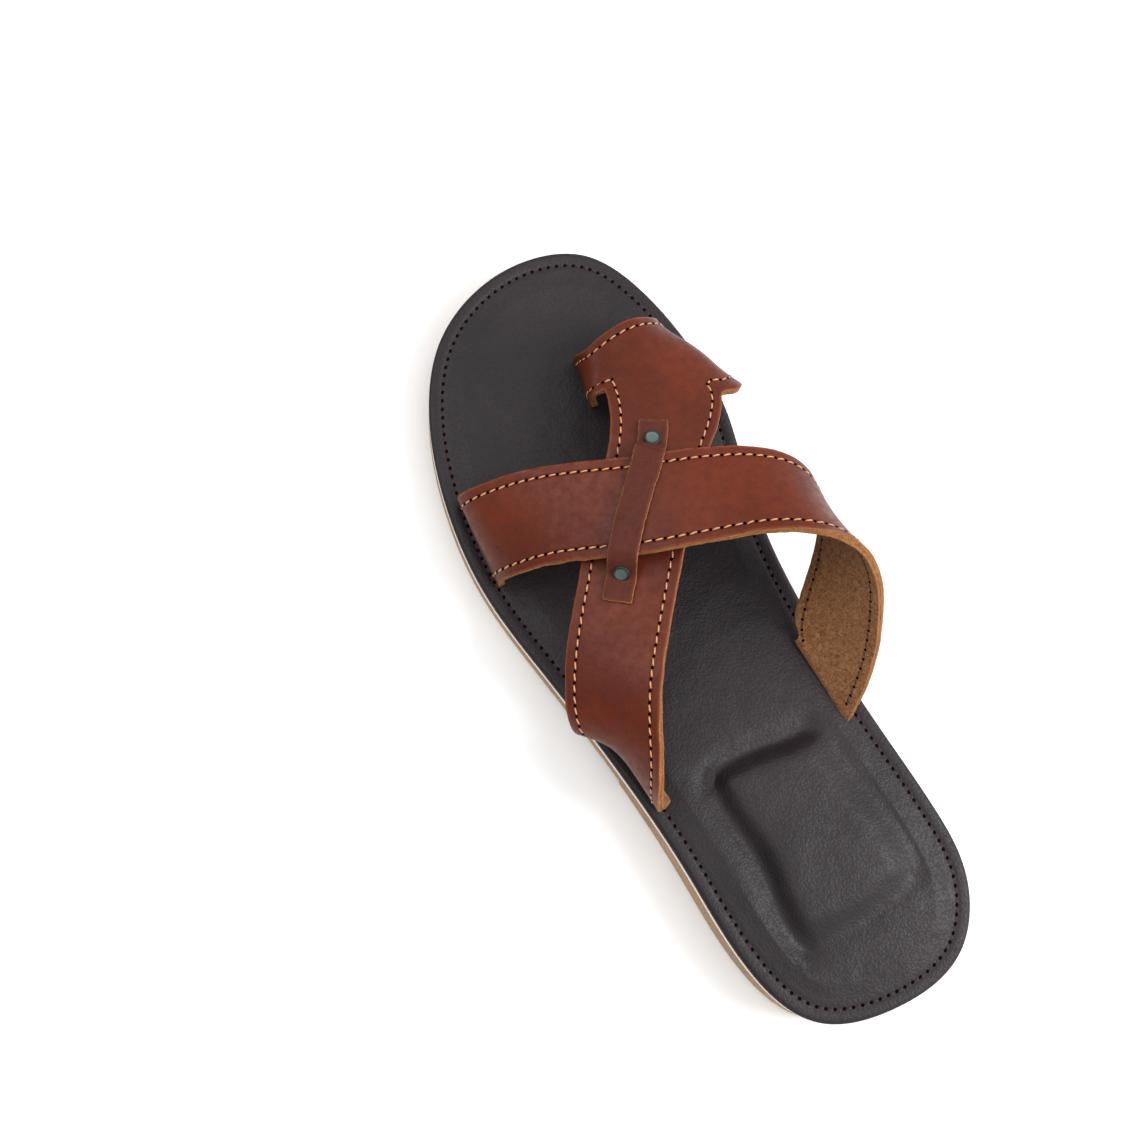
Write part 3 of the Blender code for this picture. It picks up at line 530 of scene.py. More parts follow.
def buildGum(tree, place):
    tone = use(tree, mottle, place, Scale=30.0)
    grain = use(tree, fibres, place, Scale=900.0)
    layers = node(tree, "ShaderNodeTexNoise", {"Vector": node(
        tree, "ShaderNodeMapping", {"Vector": place, "Scale": (60.0, 60.0, 1500.0)},
    ).outputs[0], "Scale": 1.0, "Detail": 3.0})
    colour = mixColour(tree, tone["Clouds"], (0.290, 0.165, 0.078), (0.375, 0.225, 0.110))
    colour = mixColour(tree, math2(tree, "MULTIPLY", tone["Blotches"], 0.4), colour, (0.235, 0.145, 0.078))
    colour = mixColour(tree, ramp(tree, layers.outputs[0], 0.45, 0.7, 0.0, 0.35), colour, (0.42, 0.30, 0.18))
    rough = math2(tree, "ADD", math2(tree, "MULTIPLY", tone["Blotches"], 0.15), 0.48)
    height = math2(tree, "ADD", math2(tree, "MULTIPLY", grain["Height"], 0.5), layers.outputs[0])
    return colour, rough, height, 0.45, 0.15 * mm


def buildMetal(tree, place):
    tone = use(tree, mottle, place, Scale=420.0)
    brushed = node(tree, "ShaderNodeTexNoise", {"Vector": place, "Scale": 6000.0, "Detail": 3.0})
    centre = attribute(tree, "centre")
    colour = mixColour(tree, centre, (0.030, 0.030, 0.030), (0.15, 0.185, 0.170))
    colour = mixColour(tree, math2(tree, "MULTIPLY", tone["Blotches"], 0.4), colour, (0.12, 0.16, 0.145))
    rough = math2(tree, "ADD", math2(tree, "MULTIPLY", tone["Clouds"], 0.15), 0.42)
    return colour, rough, brushed.outputs[0], 0.25, 0.05 * mm


# painted shade: a needle hole's darkness, coloured onto a small bead that stands on the surface
def buildHoleShade(tree, place):
    nap = use(tree, fibres, place, Scale=2000.0)
    colour = mixColour(tree, nap["Tone"], (0.003, 0.0012, 0.0012), (0.010, 0.0035, 0.003))
    return colour, None, nap["Height"], 0.5, 0.1 * mm


footbedLeather = surface("footbed_leather", buildFootbed, Specular_IOR_Level=0.33)
strapLeather = surface("brown_leather", buildStrap, Specular_IOR_Level=0.20)
keeperLeather = surface("keeper_leather", buildKeeper, Specular_IOR_Level=0.18)
rawLeather = surface("raw_leather_edge", buildRaw, Roughness=0.9, Specular_IOR_Level=0.2)
suede = surface(
    "suede_lining", buildSuede, Roughness=0.95, Specular_IOR_Level=0.12, Sheen_Weight=0.06,
    Sheen_Roughness=0.6,
)
tanThread = surface("tan_thread", buildThread((0.44, 0.165, 0.062), (0.82, 0.455, 0.205)), Roughness=0.55)
wineThread = surface("wine_thread", buildThread((0.014, 0.004, 0.009), (0.050, 0.014, 0.028)), Roughness=0.6)
darkThread = surface("dark_thread", buildThread((0.028, 0.012, 0.008), (0.085, 0.040, 0.024)), Roughness=0.7)
foam = surface("white_foam", buildFoam, Roughness=0.85)
fibreBoard = surface("fibre_board", buildBoard, Roughness=0.85)
gumRubber = surface("gum_rubber", buildGum, Specular_IOR_Level=0.22)
gunmetal = surface("gunmetal", buildMetal, Metallic=1.0)
needleHoleShade = surface("needle_hole_painted_shade", buildHoleShade, Roughness=0.95, Specular_IOR_Level=0.0)
print("materials ready")


def settle(piece, slotName, *nodes, padding=None):
    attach(piece, "root")
    if nodes:
        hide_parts(*nodes)
    return piece


# ---- footbed cover: padded leather over a heel cushion, pulled down along its seam
cover = {
    "seamInset": 4.5 * mm,
    "seamDepth": 0.35 * mm,
    "edgeRound": 0.7 * mm,
    "paddingFrom": 5.0 * mm,
    "paddingTo": 15.0 * mm,
    "paddingRise": 1.0 * mm,
    # heel cushion corners: front outer, front inner, rear inner, rear outer
    "cushion": [(-0.0222, 0.0440), (0.0168, 0.0455), (0.0266, -0.0122), (-0.0182, -0.0171)],
    "cushionRise": 2.6 * mm,
    "sideWidths": [6.5 * mm, 13 * mm, 12 * mm, 7.0 * mm],
    "sideCreases": [1.75 * mm, 0.35 * mm, 0.40 * mm, 1.75 * mm],
    # the hide is drawn into folds that run out from the two outer corners
    "pulls": [(0, 2.35, 0.85), (0, 3.45, 0.55), (3, 3.95, 0.70), (3, -1.25, 0.50)],
}


def cushionRelief(x, y):
    corners = cover["cushion"]
    rise = np.ones(len(x))
    crease = np.zeros(len(x))
    for k, (a, b) in enumerate(zip(corners, corners[1:] + corners[:1])):
        way = np.array(b) - np.array(a)
        length = np.linalg.norm(way)
        way /= length
        reach = (x - a[0]) * way[0] + (y - a[1]) * way[1]
        inside = (x - a[0]) * way[1] - (y - a[1]) * way[0]
        wobble = 0.9 * mm * np.sin(reach * 150 + k * 2.1)
        rise *= smooth((inside + wobble) / cover["sideWidths"][k] + 0.25)
        ends = smooth((reach + 0.004) / 0.008) * smooth((length + 0.004 - reach) / 0.008)
        crease += cover["sideCreases"][k] * bell(inside + wobble + 0.5 * mm, 4.4 * mm) * ends
    for corner, turn, depth in cover["pulls"]:
        dx, dy = x - corners[corner][0], y - corners[corner][1]
        reach = dx * math.cos(turn) + dy * math.sin(turn)
        off = dy * math.cos(turn) - dx * math.sin(turn)
        length = 14 * mm
        fade = smooth((reach + 3 * mm) / (4 * mm)) * smooth((length - reach) / length)
        crease += depth * mm * bell(off - 0.08 * reach, 3.2 * mm + 0.10 * np.maximum(reach, 0.0)) * fade
    return cover["cushionRise"] * rise - crease


def coverRelief(plan, inset, side, depth):
    x, y = plan[:, 0], plan[:, 1]
    lift = cover["paddingRise"] * smooth(
        (inset - cover["paddingFrom"]) / (cover["paddingTo"] - cover["paddingFrom"])
    )
    if depth > 1.0:
        lift = lift + cushionRelief(x, y)
    points = np.column_stack([x, y, np.zeros(len(x))])
    inner = smooth((inset - 0.004) / 0.006)
    lift = lift + inner * 0.35 * mm * fractal(points, 38.0, 3, 2.0)
    lift = lift + inner * 0.07 * mm * fractal(points, 190.0, 2, 5.0)
    lift = lift - cover["seamDepth"] * bell(inset - cover["seamInset"], 1.1 * mm)
    return lift - cover["edgeRound"] * (1 - np.minimum(inset / (1.4 * mm), 1.0)) ** 2


def coverSection():
    fine = list(np.linspace(0.0, 1.0, 26))
    top = fine + list(np.linspace(1.0, 2.0, 40)[1:])
    under = [(2.0, 0.0), (1.5, 0.0), (1.0, 0.0), (0.3, 0.0), (0.01, 0.02), (0.0, 0.3)]
    return under + [(depth, 1.0) for depth in top]


footbedCover = soleLayer(
    "footbed_cover_leather", coverSection(), lambda x, y: boardTop(y) + sole["gap"] / 3,
    lambda x, y: footbed(y), footbedLeather, relief=coverRelief,
)
settle(footbedCover, "footbed_leather", "footbed_cover", "footbed_padding", "heel_pad", padding=0.5)
print("footbed cover ready")

# ---- insole board and foam midsole: their edges show all round
edgeSection = [
    (2.0, 0.0), (1.0, 0.0), (0.2, 0.0), (0.012, 0.0), (0.0, 0.12), (0.0, 0.5), (0.0, 0.88), (0.012, 1.0),
               (0.2, 1.0), (1.0, 1.0), (2.0, 1.0)]
half = sole["gap"] / 2
board = soleLayer(
    "insole_board_edge", edgeSection,
    lambda x, y: midsoleTop(y) + half, lambda x, y: boardTop(y) + half * 0.6,
    fibreBoard,
)
settle(board, "fibre_board", "insole_board")
midsole = soleLayer(
    "foam_midsole", edgeSection,
    lambda x, y: outsoleTop(y) + half, lambda x, y: midsoleTop(y) + half * 0.9, foam,
)
settle(midsole, "white_foam", "midsole")
print("sole layers ready")


# ---- straps: the same routes that the frame was built on, as finer sheets of leather
straps = {
    "upper": 1.2 * mm,
    "lining": 1.0 * mm,
    "seamInset": 3.3 * mm,
    "slotInset": 0.007,
    "waistSlotInset": 0.0075,
    "rise": 1.0 * mm,
    "below": 6.0 * mm,
    "squareBy": 0.030,
    "edgeRound": 0.28 * mm,
    "crossWidth": 0.0315,
    "diagonalWidth": 0.031,
    "loopFront": 0.020,
    "outerTab": 0.022,
    "outerTabFoot": 0.018,
    "innerTab": 0.030,
    "innerFlare": 0.0055,
    "innerFlareStart": 0.052,
    # across, along, height above the footbed, heading of the width in degrees, rise of the width
    "cross": [
        (-0.0590, 0.1450, 0.008, 92, 0.00), (-0.0500, 0.1430, 0.020, 84, 0.00),
        (-0.0380, 0.1395, 0.0280, 72, 0.00), (-0.0150, 0.1300, 0.0385, 62, -0.03),
        (0.0130, 0.1215, 0.0440, 62, -0.25), (0.0345, 0.1105, 0.0430, 65, -0.65),
        (0.0435, 0.0955, 0.0325, 88, -1.05), (0.0385, 0.0775, 0.0180, 108, -0.70),
    ],
    "diagonal": [
        (-0.0440, 0.0565, 0.007, 96, 0.00), (-0.0475, 0.0640, 0.018, 116, -0.20),
        (-0.0435, 0.0820, 0.028, 132, -0.36), (-0.0290, 0.1050, 0.0312, 148, -0.28),
        (-0.0125, 0.1275, 0.0322, 150, -0.22), (0.0030, 0.1480, 0.0325, 160, -0.10),
        (0.0110, 0.1690, 0.0290, 172, 0.00), (0.0115, 0.1905, 0.0240, 180, 0.00),
    ],
    "crossOuterSlot": 0.145,
    "crossInnerSlot": 0.058,
    "rearSlot": 0.0565,
    "outerTabSlot": (-0.0026, 0.183, 86),
    "innerTabSlot": (0.0290, 0.1775, 105),
}
upward = Vector((0.0, 0.0, 1.0))


class Slot:
    # a straight slit in the footbed that a strap passes down through
    def __init__(self, side, length, centre, heading):
        self.length = length
        self.centre = centre
        self.heading = heading
        self.outward = Vector((heading.y, -heading.x, 0.0)) * side

    def at(self, share, drop=0.0):
        place = self.centre + self.heading * (share * self.length / 2)
        return Vector((place.x, place.y, float(footbed(place.y)) + straps["rise"] - drop))


def edgeSlot(side, y, length, inset):
    reach = 0.004
    dx = float(edgeX(side, y + reach) - edgeX(side, y - reach))
    heading = Vector((dx, 2 * reach, 0.0)).normalized()
    outward = Vector((heading.y, -heading.x, 0.0)) * side
    return Slot(side, length, Vector((float(edgeX(side, y)), y, 0.0)) - outward * inset, heading)


def tabSlot(side, length, place):
    x, y, angle = place
    turn = math.radians(angle)
    return Slot(side, length, Vector((x, y, 0.0)), Vector((math.cos(turn), math.sin(turn), 0.0)))


class Ribbon:
    def __init__(self, route, width, slot, endSlot=None):
        self.width = width
        self.twoSlots = endSlot is not None
        places = [(*slot.at(0), math.atan2(slot.heading.y, slot.heading.x), 0.0)]
        places += [(x, y, float(footbed(y)) + h, math.radians(a), r) for x, y, h, a, r in route]
        if endSlot:
            places.append((*endSlot.at(0), math.atan2(endSlot.heading.y, endSlot.heading.x), 0.0))
        at, self.length = curveThrough(places)
        self.route = lambda place: at(place)[0]

    def squareness(self, place):
        square = float(smooth(place / straps["squareBy"]))
        if self.twoSlots:
            square *= float(smooth((self.length - place) / straps["squareBy"]))
        return square

    # the two edges of the strap at a place along it, and the way its grain side faces
    def line(self, place, width=None, flare=0.0):
        step = 0.2 * mm
        near, far = self.route(max(place - step, 0.0)), self.route(min(place + step, self.length))
        here = self.route(place)
        ahead = Vector(far[:3] - near[:3]).normalized()
        side = Vector((math.cos(here[3]), math.sin(here[3]), here[4]))
        side = (side - ahead * side.dot(ahead) * self.squareness(place)).normalized()
        reach = side * (width or self.width) / 2
        centre = Vector(here[:3])
        return centre + reach, centre - reach - side * flare, ahead.cross(side).normalized()


slots = {
    "crossOuter": edgeSlot(-1, straps["crossOuterSlot"], straps["crossWidth"], straps["slotInset"]),
    "crossInner": edgeSlot(1, straps["crossInnerSlot"], straps["crossWidth"], straps["waistSlotInset"]),
    "rear": edgeSlot(-1, straps["rearSlot"], straps["diagonalWidth"], straps["slotInset"]),
    "outerTab": tabSlot(-1, straps["outerTabFoot"], straps["outerTabSlot"]),
    "innerTab": tabSlot(1, straps["innerTab"], straps["innerTabSlot"]),
}


def rowAcross(left, right, shares, bow=0.0, normal=upward):
    return [left.lerp(right, share) - normal * bow * (2 * share - 1) ** 2 for share in shares]


def dropRows(slot, shares, first=1):
    depths = [straps["below"], straps["below"] * 0.6]
    return [rowAcross(slot.at(first, d), slot.at(-first, d), shares) for d in depths]


# a sheet's vertices learn how far they are from its cut edge and from its seams
def markSheet(bm, seams):
    rim = kdtree.KDTree(64 * len(bm.edges))
    count = 0
    for edge in bm.edges:
        if edge.is_boundary:
            a, b = (v.co for v in edge.verts)
            steps = max(2, int((a - b).length / (0.25 * mm)))
            for k in range(steps):
                rim.insert(a.lerp(b, k / steps), count)
                count += 1
    rim.balance()
    thread = kdtree.KDTree(max(1, sum(len(s) for s in seams)))
    for k, point in enumerate(p for s in seams for p in s):
        thread.insert(point, k)
    thread.balance()
    edgeLayer = bm.verts.layers.float.new("edge")
    seamLayer = bm.verts.layers.float.new("seam")
    for vert in bm.verts:
        vert[edgeLayer] = rim.find(vert.co)[2]
        vert[seamLayer] = thread.find(vert.co)[2] if seams else 10 * mm


# hand-cut waver of the edge and gentle unevenness of the hide
def roughen(bm, seed):
    edgeLayer = bm.verts.layers.float["edge"]
    bm.normal_update()
    moves = []
    for vert in bm.verts:
        near = float(bell(vert[edgeLayer], 3.0 * mm))
        shift = noise.noise_vector(vert.co * 160 + Vector((seed, 0, 0))) * 0.22 * mm * near
        shift += noise.noise_vector(vert.co * 700 + Vector((0, seed, 0))) * 0.07 * mm * near
        swell = noise.noise(vert.co * 55 + Vector((seed, seed, 0))) * 0.35 * mm
        moves.append(vert.co + shift + vert.normal * swell)
    for vert, place in zip(bm.verts, moves):
        vert.co = place


def sheetToPiece(name, bm, low, high, looks, subdivide=0):
    bm.normal_update()
    lifted = bm.copy()
    for vert, source in zip(lifted.verts, bm.verts):
        vert.co = source.co + source.normal * low
    mesh = bpy.data.meshes.new(name)
    lifted.to_mesh(mesh)
    lifted.free()
    piece = bpy.data.objects.new(name, mesh)
    bpy.context.scene.collection.objects.link(piece)
    for look in looks:
        mesh.materials.append(look)
    solid = piece.modifiers.new("thickness", "SOLIDIFY")
    solid.thickness = high - low
    solid.offset = 1.0
    solid.use_even_offset = True
    solid.material_offset_rim = 1
    soft = piece.modifiers.new("soft_edge", "BEVEL")
    soft.width = straps["edgeRound"]
    soft.segments = 3
    soft.limit_method = "ANGLE"
    soft.angle_limit = math.radians(60)
    soft.use_clamp_overlap = True
    graph = bpy.context.evaluated_depsgraph_get()
    finished = bpy.data.meshes.new_from_object(piece.evaluated_get(graph))
    piece.modifiers.clear()
    piece.data = finished
    finished.name = name
    finished.shade_smooth()
    return piece


# the cut faces of a strap are fibrous, so their points stand a little unevenly
def fray(piece, amount, seed):
    mesh = piece.data
    touched = set()
    for face in mesh.polygons:
        if face.material_index == 1:
            touched.update(face.vertices)
    for k in touched:
        vert = mesh.vertices[k]
        vert.co += noise.noise_vector(vert.co * 1400 + Vector((seed, 0, 0))) * amount


def seamAlong(lines, share, inset=None):
    return [left.lerp(right, share) for left, right, normal in lines]


crossRibbon = Ribbon(straps["cross"], straps["crossWidth"], slots["crossOuter"], slots["crossInner"])
crossRows = 190
crossShares = np.linspace(0.0, 1.0, 37)
crossLines = [crossRibbon.line(crossRibbon.length * k / crossRows) for k in range(crossRows + 1)]
crossSheet = dropRows(slots["crossOuter"], crossShares)
crossSheet += [rowAcross(left, right, crossShares) for left, right, normal in crossLines]
crossSheet += dropRows(slots["crossInner"], crossShares)[::-1]
bmCross = gridFrom(crossSheet)
seamShare = straps["seamInset"] / straps["crossWidth"]
crossSeams = [seamAlong(crossLines[3:-3], seamShare), seamAlong(crossLines[3:-3], 1 - seamShare)]


def facing(bm, point, normal):
    bm.faces.ensure_lookup_table()
    bm.normal_update()
    nearest = min(bm.faces, key=lambda f: (f.calc_center_median() - point).length_squared)
    if nearest.normal.dot(normal) < 0:
        bmesh.ops.reverse_faces(bm, faces=bm.faces)


left, right, normal = crossLines[crossRows // 2]
facing(bmCross, left.lerp(right, 0.5), normal)
markSheet(bmCross, crossSeams)
crossSheetTree = BVHTree.FromBMesh(bmCross)
roughen(bmCross, 3.0)
touching = sole["gap"] * 0.42
crossUpper = sheetToPiece(
    "cross_strap_leather", bmCross, -touching, straps["upper"], [strapLeather, rawLeather],
)
fray(crossUpper, 0.10 * mm, 1.0)
settle(crossUpper, "brown_leather", "cross_strap_upper")
crossLining = sheetToPiece(
    "cross_strap_suede", bmCross, -sole["gap"] - straps["lining"], -touching * 1.05, [suede, rawLeather],
)
fray(crossLining, 0.14 * mm, 2.0)
settle(crossLining, "suede_lining", "cross_strap_lining")
print("cross strap ready")


# ---- toe strap: the diagonal ribbon ends in two tabs, so its leather is one T-shaped sheet
toe = {"shares": 13, "leg": 12, "step": 2.2 * mm, "bodyRows": 56, "bow": 4.5 * mm}
ribbon = Ribbon(straps["diagonal"], straps["diagonalWidth"], slots["rear"])


def toeRowPlaces():
    inner, outer = straps["innerTab"], straps["outerTab"]
    body = ribbon.length - inner
    fronts = [ribbon.length - body * k / toe["bodyRows"] for k in range(toe["bodyRows"])]
    for a, b in ((inner, outer), (outer, 0.0)):
        pieces = round((a - b) / toe["step"])
        fronts += [a + (b - a) * k / pieces for k in range(pieces)]
    return fronts + [0.0]


def tabLeg(top, before, slot, share, reach, lean):
    mouth = slot.at(share)
    leave = (top - before).normalized() * reach
    arrive = (-upward - slot.outward * lean).normalized() * reach
    points = []
    for k in range(1, toe["leg"] + 1):
        s = k / toe["leg"]
        points.append(
            top * (1 + 2 * s) * (1 - s) ** 2 + leave * s * (1 - s) ** 2
            + mouth * s * s * (3 - 2 * s) - arrive * s * s * (1 - s)
        )
    return points + [slot.at(share, straps["below"] * 0.5), slot.at(share, straps["below"])]


def ribbonWidth(front):
    wide = straps["loopFront"] + (straps["diagonalWidth"] - straps["loopFront"]) * float(smooth(front / 0.02))
    widening = (straps["innerFlareStart"] - front) / (straps["innerFlareStart"] - straps["innerTab"])
    flare = straps["innerFlare"] * float(smooth(widening)) * min(1.0, front / straps["innerTab"]) ** 2
    return wide, flare


def toeLine(front):
    wide, flare = ribbonWidth(front)
    return ribbon.line(ribbon.length - front, wide, flare)


def toeRow(front, shares):
    left, right, normal = toeLine(front)
    bow = toe["bow"] * (1 - float(smooth(front / 0.055)))
    points = rowAcross(left, right, shares, bow, normal)
    outer = inner = [None] * (toe["leg"] + 2)
    tiny = 1e-6
    if front <= straps["outerTab"] + tiny:
        share = 1 - 2 * front / straps["outerTab"]
        outer = tabLeg(points[0], points[1], slots["outerTab"], share, 0.020, 0.15)[::-1]
    if front <= straps["innerTab"] + tiny:
        share = 1 - 2 * front / straps["innerTab"]
        reach = 0.016 + 0.032 * (front / straps["innerTab"]) ** 3
        inner = tabLeg(points[-1], points[-2], slots["innerTab"], share, reach, 0.45)
    return outer + points + inner


def toeSheet():
    shares = np.linspace(0.0, 1.0, toe["shares"])
    blank = [None] * (toe["leg"] + 2)
    rows = [blank + row + blank for row in dropRows(slots["rear"], shares)]
    rows += [toeRow(front, shares) for front in toeRowPlaces()]
    away = Vector((0.0, 0.0, -1.0))
    bm = gridFrom([[point or away for point in row] for row in rows])
    bmesh.ops.delete(bm, geom=[v for v in bm.verts if v.co.z < -0.5], context="VERTS")
    return bm


def refined(bm, levels):
    mesh = bpy.data.meshes.new("sheet")
    bm.to_mesh(mesh)
    bm.free()
    sheet = bpy.data.objects.new("sheet", mesh)
    bpy.context.scene.collection.objects.link(sheet)
    finer = sheet.modifiers.new("finer", "SUBSURF")
    finer.levels = finer.render_levels = levels
    finer.boundary_smooth = "PRESERVE_CORNERS"
    graph = bpy.context.evaluated_depsgraph_get()
    made = bmesh.new()
    made.from_mesh(sheet.evaluated_get(graph).to_mesh())
    bpy.data.objects.remove(sheet)
    bpy.data.meshes.remove(mesh)
    return made


bmToe = refined(toeSheet(), 1)
left, right, normal = toeLine(0.06)
facing(bmToe, left.lerp(right, 0.5), normal)
toeTree = BVHTree.FromBMesh(bmToe)


# a seam that keeps its distance from a cut edge: start from where it would lie on a flat strap
def toeSeam(side):
    tab = straps["outerTab"] if side < 0 else straps["innerTab"]
    inset = straps["seamInset"]
    points = []
    place = 6.0 * mm
    while place < ribbon.length - tab + inset:
        front = ribbon.length - place
        left, right, normal = toeLine(front)
        share = inset / (left - right).length
        bow = toe["bow"] * (1 - float(smooth(front / 0.055)))
        share = share if side < 0 else 1 - share
        points.append(left.lerp(right, share) - normal * bow * (2 * share - 1) ** 2)
        place += 1.0 * mm
    front = tab - inset
    row = toeRow(front, np.linspace(0.0, 1.0, toe["shares"]))
    legs = toe["leg"] + 2
    leg = row[:legs][::-1] if side < 0 else row[-legs:]
    corner = [row[legs]] if side < 0 else [row[-legs - 1]]
    return points, corner + leg[:toe["leg"] - 1]


def toeFrontSeam():
    row = toeRow(straps["seamInset"], np.linspace(0.0, 1.0, toe["shares"]))
    return row[3:-3]


outerRun, outerCorner = toeSeam(-1)
innerRun, innerCorner = toeSeam(1)
toeSeams = [outerRun + outerCorner, innerRun + innerCorner, toeFrontSeam()]


def evenly(points, step):
    at, length = curveThrough([tuple(p) for p in points])
    return [Vector(p) for p in at(np.arange(0.0, length, step))]


toeSeams = [evenly(seam, 0.5 * mm) for seam in toeSeams]
markSheet(bmToe, toeSeams)
toeSheetTree = BVHTree.FromBMesh(bmToe)
roughen(bmToe, 8.0)
toeUpper = sheetToPiece("toe_strap_leather", bmToe, -touching, straps["upper"], [strapLeather, rawLeather])
fray(toeUpper, 0.10 * mm, 4.0)
settle(toeUpper, "brown_leather", "toe_strap_upper")
toeLining = sheetToPiece(
    "toe_strap_suede", bmToe, -sole["gap"] - straps["lining"], -touching * 1.05, [suede, rawLeather],
)
fray(toeLining, 0.14 * mm, 5.0)
settle(toeLining, "suede_lining", "toe_strap_lining")
print("toe strap ready")


# ---- keeper strap: one thickness of leather over the crossing, held by two rivets
keeper = {
    "width": 9.5 * mm,
    "length": 60.5 * mm,
    "thickness": 1.3 * mm,
    "shift": 2.0 * mm,
    "backset": 0.7 * mm,
    "rows": 76,
    "columns": 12,
    "rest": 0.1 * mm,
    "ramp": 1.7,
    "soften": 3,
    "frontRivet": 6.8 * mm,
    "rearRivet": 8.8 * mm,
}


def crossingPlace():
    places = np.linspace(0.0, ribbon.length, 401)
    diagonal = np.array([ribbon.route(p)[:2] for p in places])
    over = np.array([crossRibbon.route(p)[:2] for p in np.linspace(0.0, crossRibbon.length, 401)])
    away = np.linalg.norm(diagonal[:, None] - over[None], axis=2).min(axis=1)
    return places[int(np.argmin(away))]


keeperMiddle = crossingPlace() - keeper["backset"]


def treeOf(piece):
    mesh = piece.data
    return BVHTree.FromPolygons([v.co for v in mesh.vertices], [p.vertices for p in mesh.polygons])


crossTree = treeOf(crossUpper)
toeTree = treeOf(toeUpper)


def keeperLine(offset):
    left, right, normal = ribbon.line(keeperMiddle + offset)
    across = (right - left).normalized()
    centre = left.lerp(right, 0.5) - across * keeper["shift"]
    reach = across * keeper["width"] / 2
    return centre - reach, centre + reach, normal


# how high the keeper lies at a place: on the toe strap, or on the cross strap where it passes over
def restingLift(offset):
    left, right, normal = keeperLine(offset)
    above = 0.03
    lift = 0.0
    for share in (0.0, 0.25, 0.5, 0.75, 1.0):
        point = left.lerp(right, share) + normal * above
        for tree in (toeTree, crossTree):
            hit = tree.ray_cast(point, -normal)
            if hit[0] is not None and abs(hit[3] - above) < 0.02:
                lift = max(lift, above - hit[3])
    return lift + keeper["rest"]


def keeperLifts():
    offsets = np.linspace(-0.5, 0.5, keeper["rows"] + 1) * keeper["length"]
    needed = np.array([restingLift(d) for d in offsets])
    reach = np.abs(offsets[:, None] - offsets[None])
    eased = (needed[None] - keeper["ramp"] * reach).max(axis=1)
    for _ in range(keeper["soften"]):
        padded = np.concatenate([eased[:1], eased, eased[-1:]])
        eased = np.maximum((padded[:-2] + 2 * padded[1:-1] + padded[2:]) / 4, needed)
    return offsets, eased


def keeperSheet():
    offsets, lifts = keeperLifts()
    shares = np.linspace(0.0, 1.0, keeper["columns"] + 1)
    rows = []
    for offset, lift in zip(offsets, lifts):
        left, right, normal = keeperLine(offset)
        rows.append([left.lerp(right, share) + normal * lift for share in shares])
    return gridFrom(rows), lifts


bmKeeper, lifts = keeperSheet()
left, right, normal = keeperLine(0.0)
facing(bmKeeper, left.lerp(right, 0.5) + normal * lifts[len(lifts) // 2], normal)
markSheet(bmKeeper, [])
roughen(bmKeeper, 21.0)
keeperPiece = sheetToPiece(
    "keeper_strap_leather", bmKeeper, 0.0, keeper["thickness"], [keeperLeather, rawLeather],
)
fray(keeperPiece, 0.22 * mm, 9.0)
settle(keeperPiece, "brown_leather", "keeper_strap")
keeperTree = treeOf(keeperPiece)
print("keeper ready")

# ---- rivets: shallow turned caps with a rolled rim and a flat polished middle
rivet = {"radius": 2.75 * mm, "height": 0.95 * mm, "steps": 48, "shank": 3.0 * mm}


def addRivet(name, offset, cap, post):
    left, right, normal = keeperLine(offset)
    top = left.lerp(right, 0.5) + normal * 0.03
    across = (right - left).normalized()
    ahead = normal.cross(across)
    hits = []
    for dx, dy in ((0, 0), (1, 0), (-1, 0), (0, 1), (0, -1), (2, 0), (-2, 0), (0, 2), (0, -2)):
        hits.append(keeperTree.ray_cast(top + (across * dx + ahead * dy) * mm, -normal))
    seat = hits[0][0]
    normal = sum((hit[1] for hit in hits), Vector()).normalized()
    across = (across - normal * across.dot(normal)).normalized()
    turn = Matrix((across, normal.cross(across), normal)).transposed().to_4x4()
    r, h = rivet["radius"], rivet["height"]
    profile = [
        (r * 0.35, h * 0.76), (r * 0.68, h * 0.76), (r * 0.71, h * 0.80), (r * 0.76, h * 0.92), (r * 0.83, h),
        (r * 0.91, h * 0.95), (r * 0.98, h * 0.72), (r, h * 0.45), (r * 0.99, 0.0), (r * 0.5, -h * 0.2),
        (r * 0.5, -rivet["shank"]),
    ]
    bm = bmesh.new()
    turns = np.linspace(0.0, 2 * math.pi, rivet["steps"], endpoint=False)
    rings = [[bm.verts.new((x * math.cos(t), x * math.sin(t), z)) for t in turns] for x, z in profile]
    for outer, inner in zip(rings[1:], rings):
        for k in range(len(turns)):
            bm.faces.new((inner[k - 1], outer[k - 1], outer[k], inner[k]))
    bm.faces.new(rings[0])
    bm.faces.new(rings[-1][::-1])
    bmesh.ops.recalc_face_normals(bm, faces=bm.faces)
    centre = bm.verts.layers.float.new("centre")
    for vert in bm.verts:
        vert[centre] = 1.0 if math.hypot(vert.co.x, vert.co.y) < r * 0.7 and vert.co.z > 0 else 0.0
    bmesh.ops.transform(bm, matrix=Matrix.Translation(seat) @ turn, verts=bm.verts)
    piece = finish(bm, name, gunmetal, 70)
    settle(piece, "gunmetal", cap, post)


halfLength = keeper["length"] / 2
addRivet("front_rivet_head", halfLength - keeper["frontRivet"], "front_rivet_cap", "front_rivet_post")
addRivet("rear_rivet_head", keeper["rearRivet"] - halfLength, "rear_rivet_cap", "rear_rivet_post")
print("rivets ready")


# ---- seams: one short body per stitch, and a flattened bead at each needle hole, coloured near-black as painted shade of the hole
stitching = {
    "strapPitch": 3.5 * mm,
    "strapThread": (0.29 * mm, 0.25 * mm),
    "bobbinThread": (0.30 * mm, 0.20 * mm),
    "solePitch": 3.0 * mm,
    "soleThread": (0.36 * mm, 0.22 * mm),
    "gap": 0.85 * mm,
    "slant": math.radians(9),
    "dip": 0.30 * mm,
    "hole": (0.58 * mm, 0.55 * mm, 0.13 * mm),
    "soleHole": (0.75 * mm, 0.68 * mm, 0.16 * mm),
}


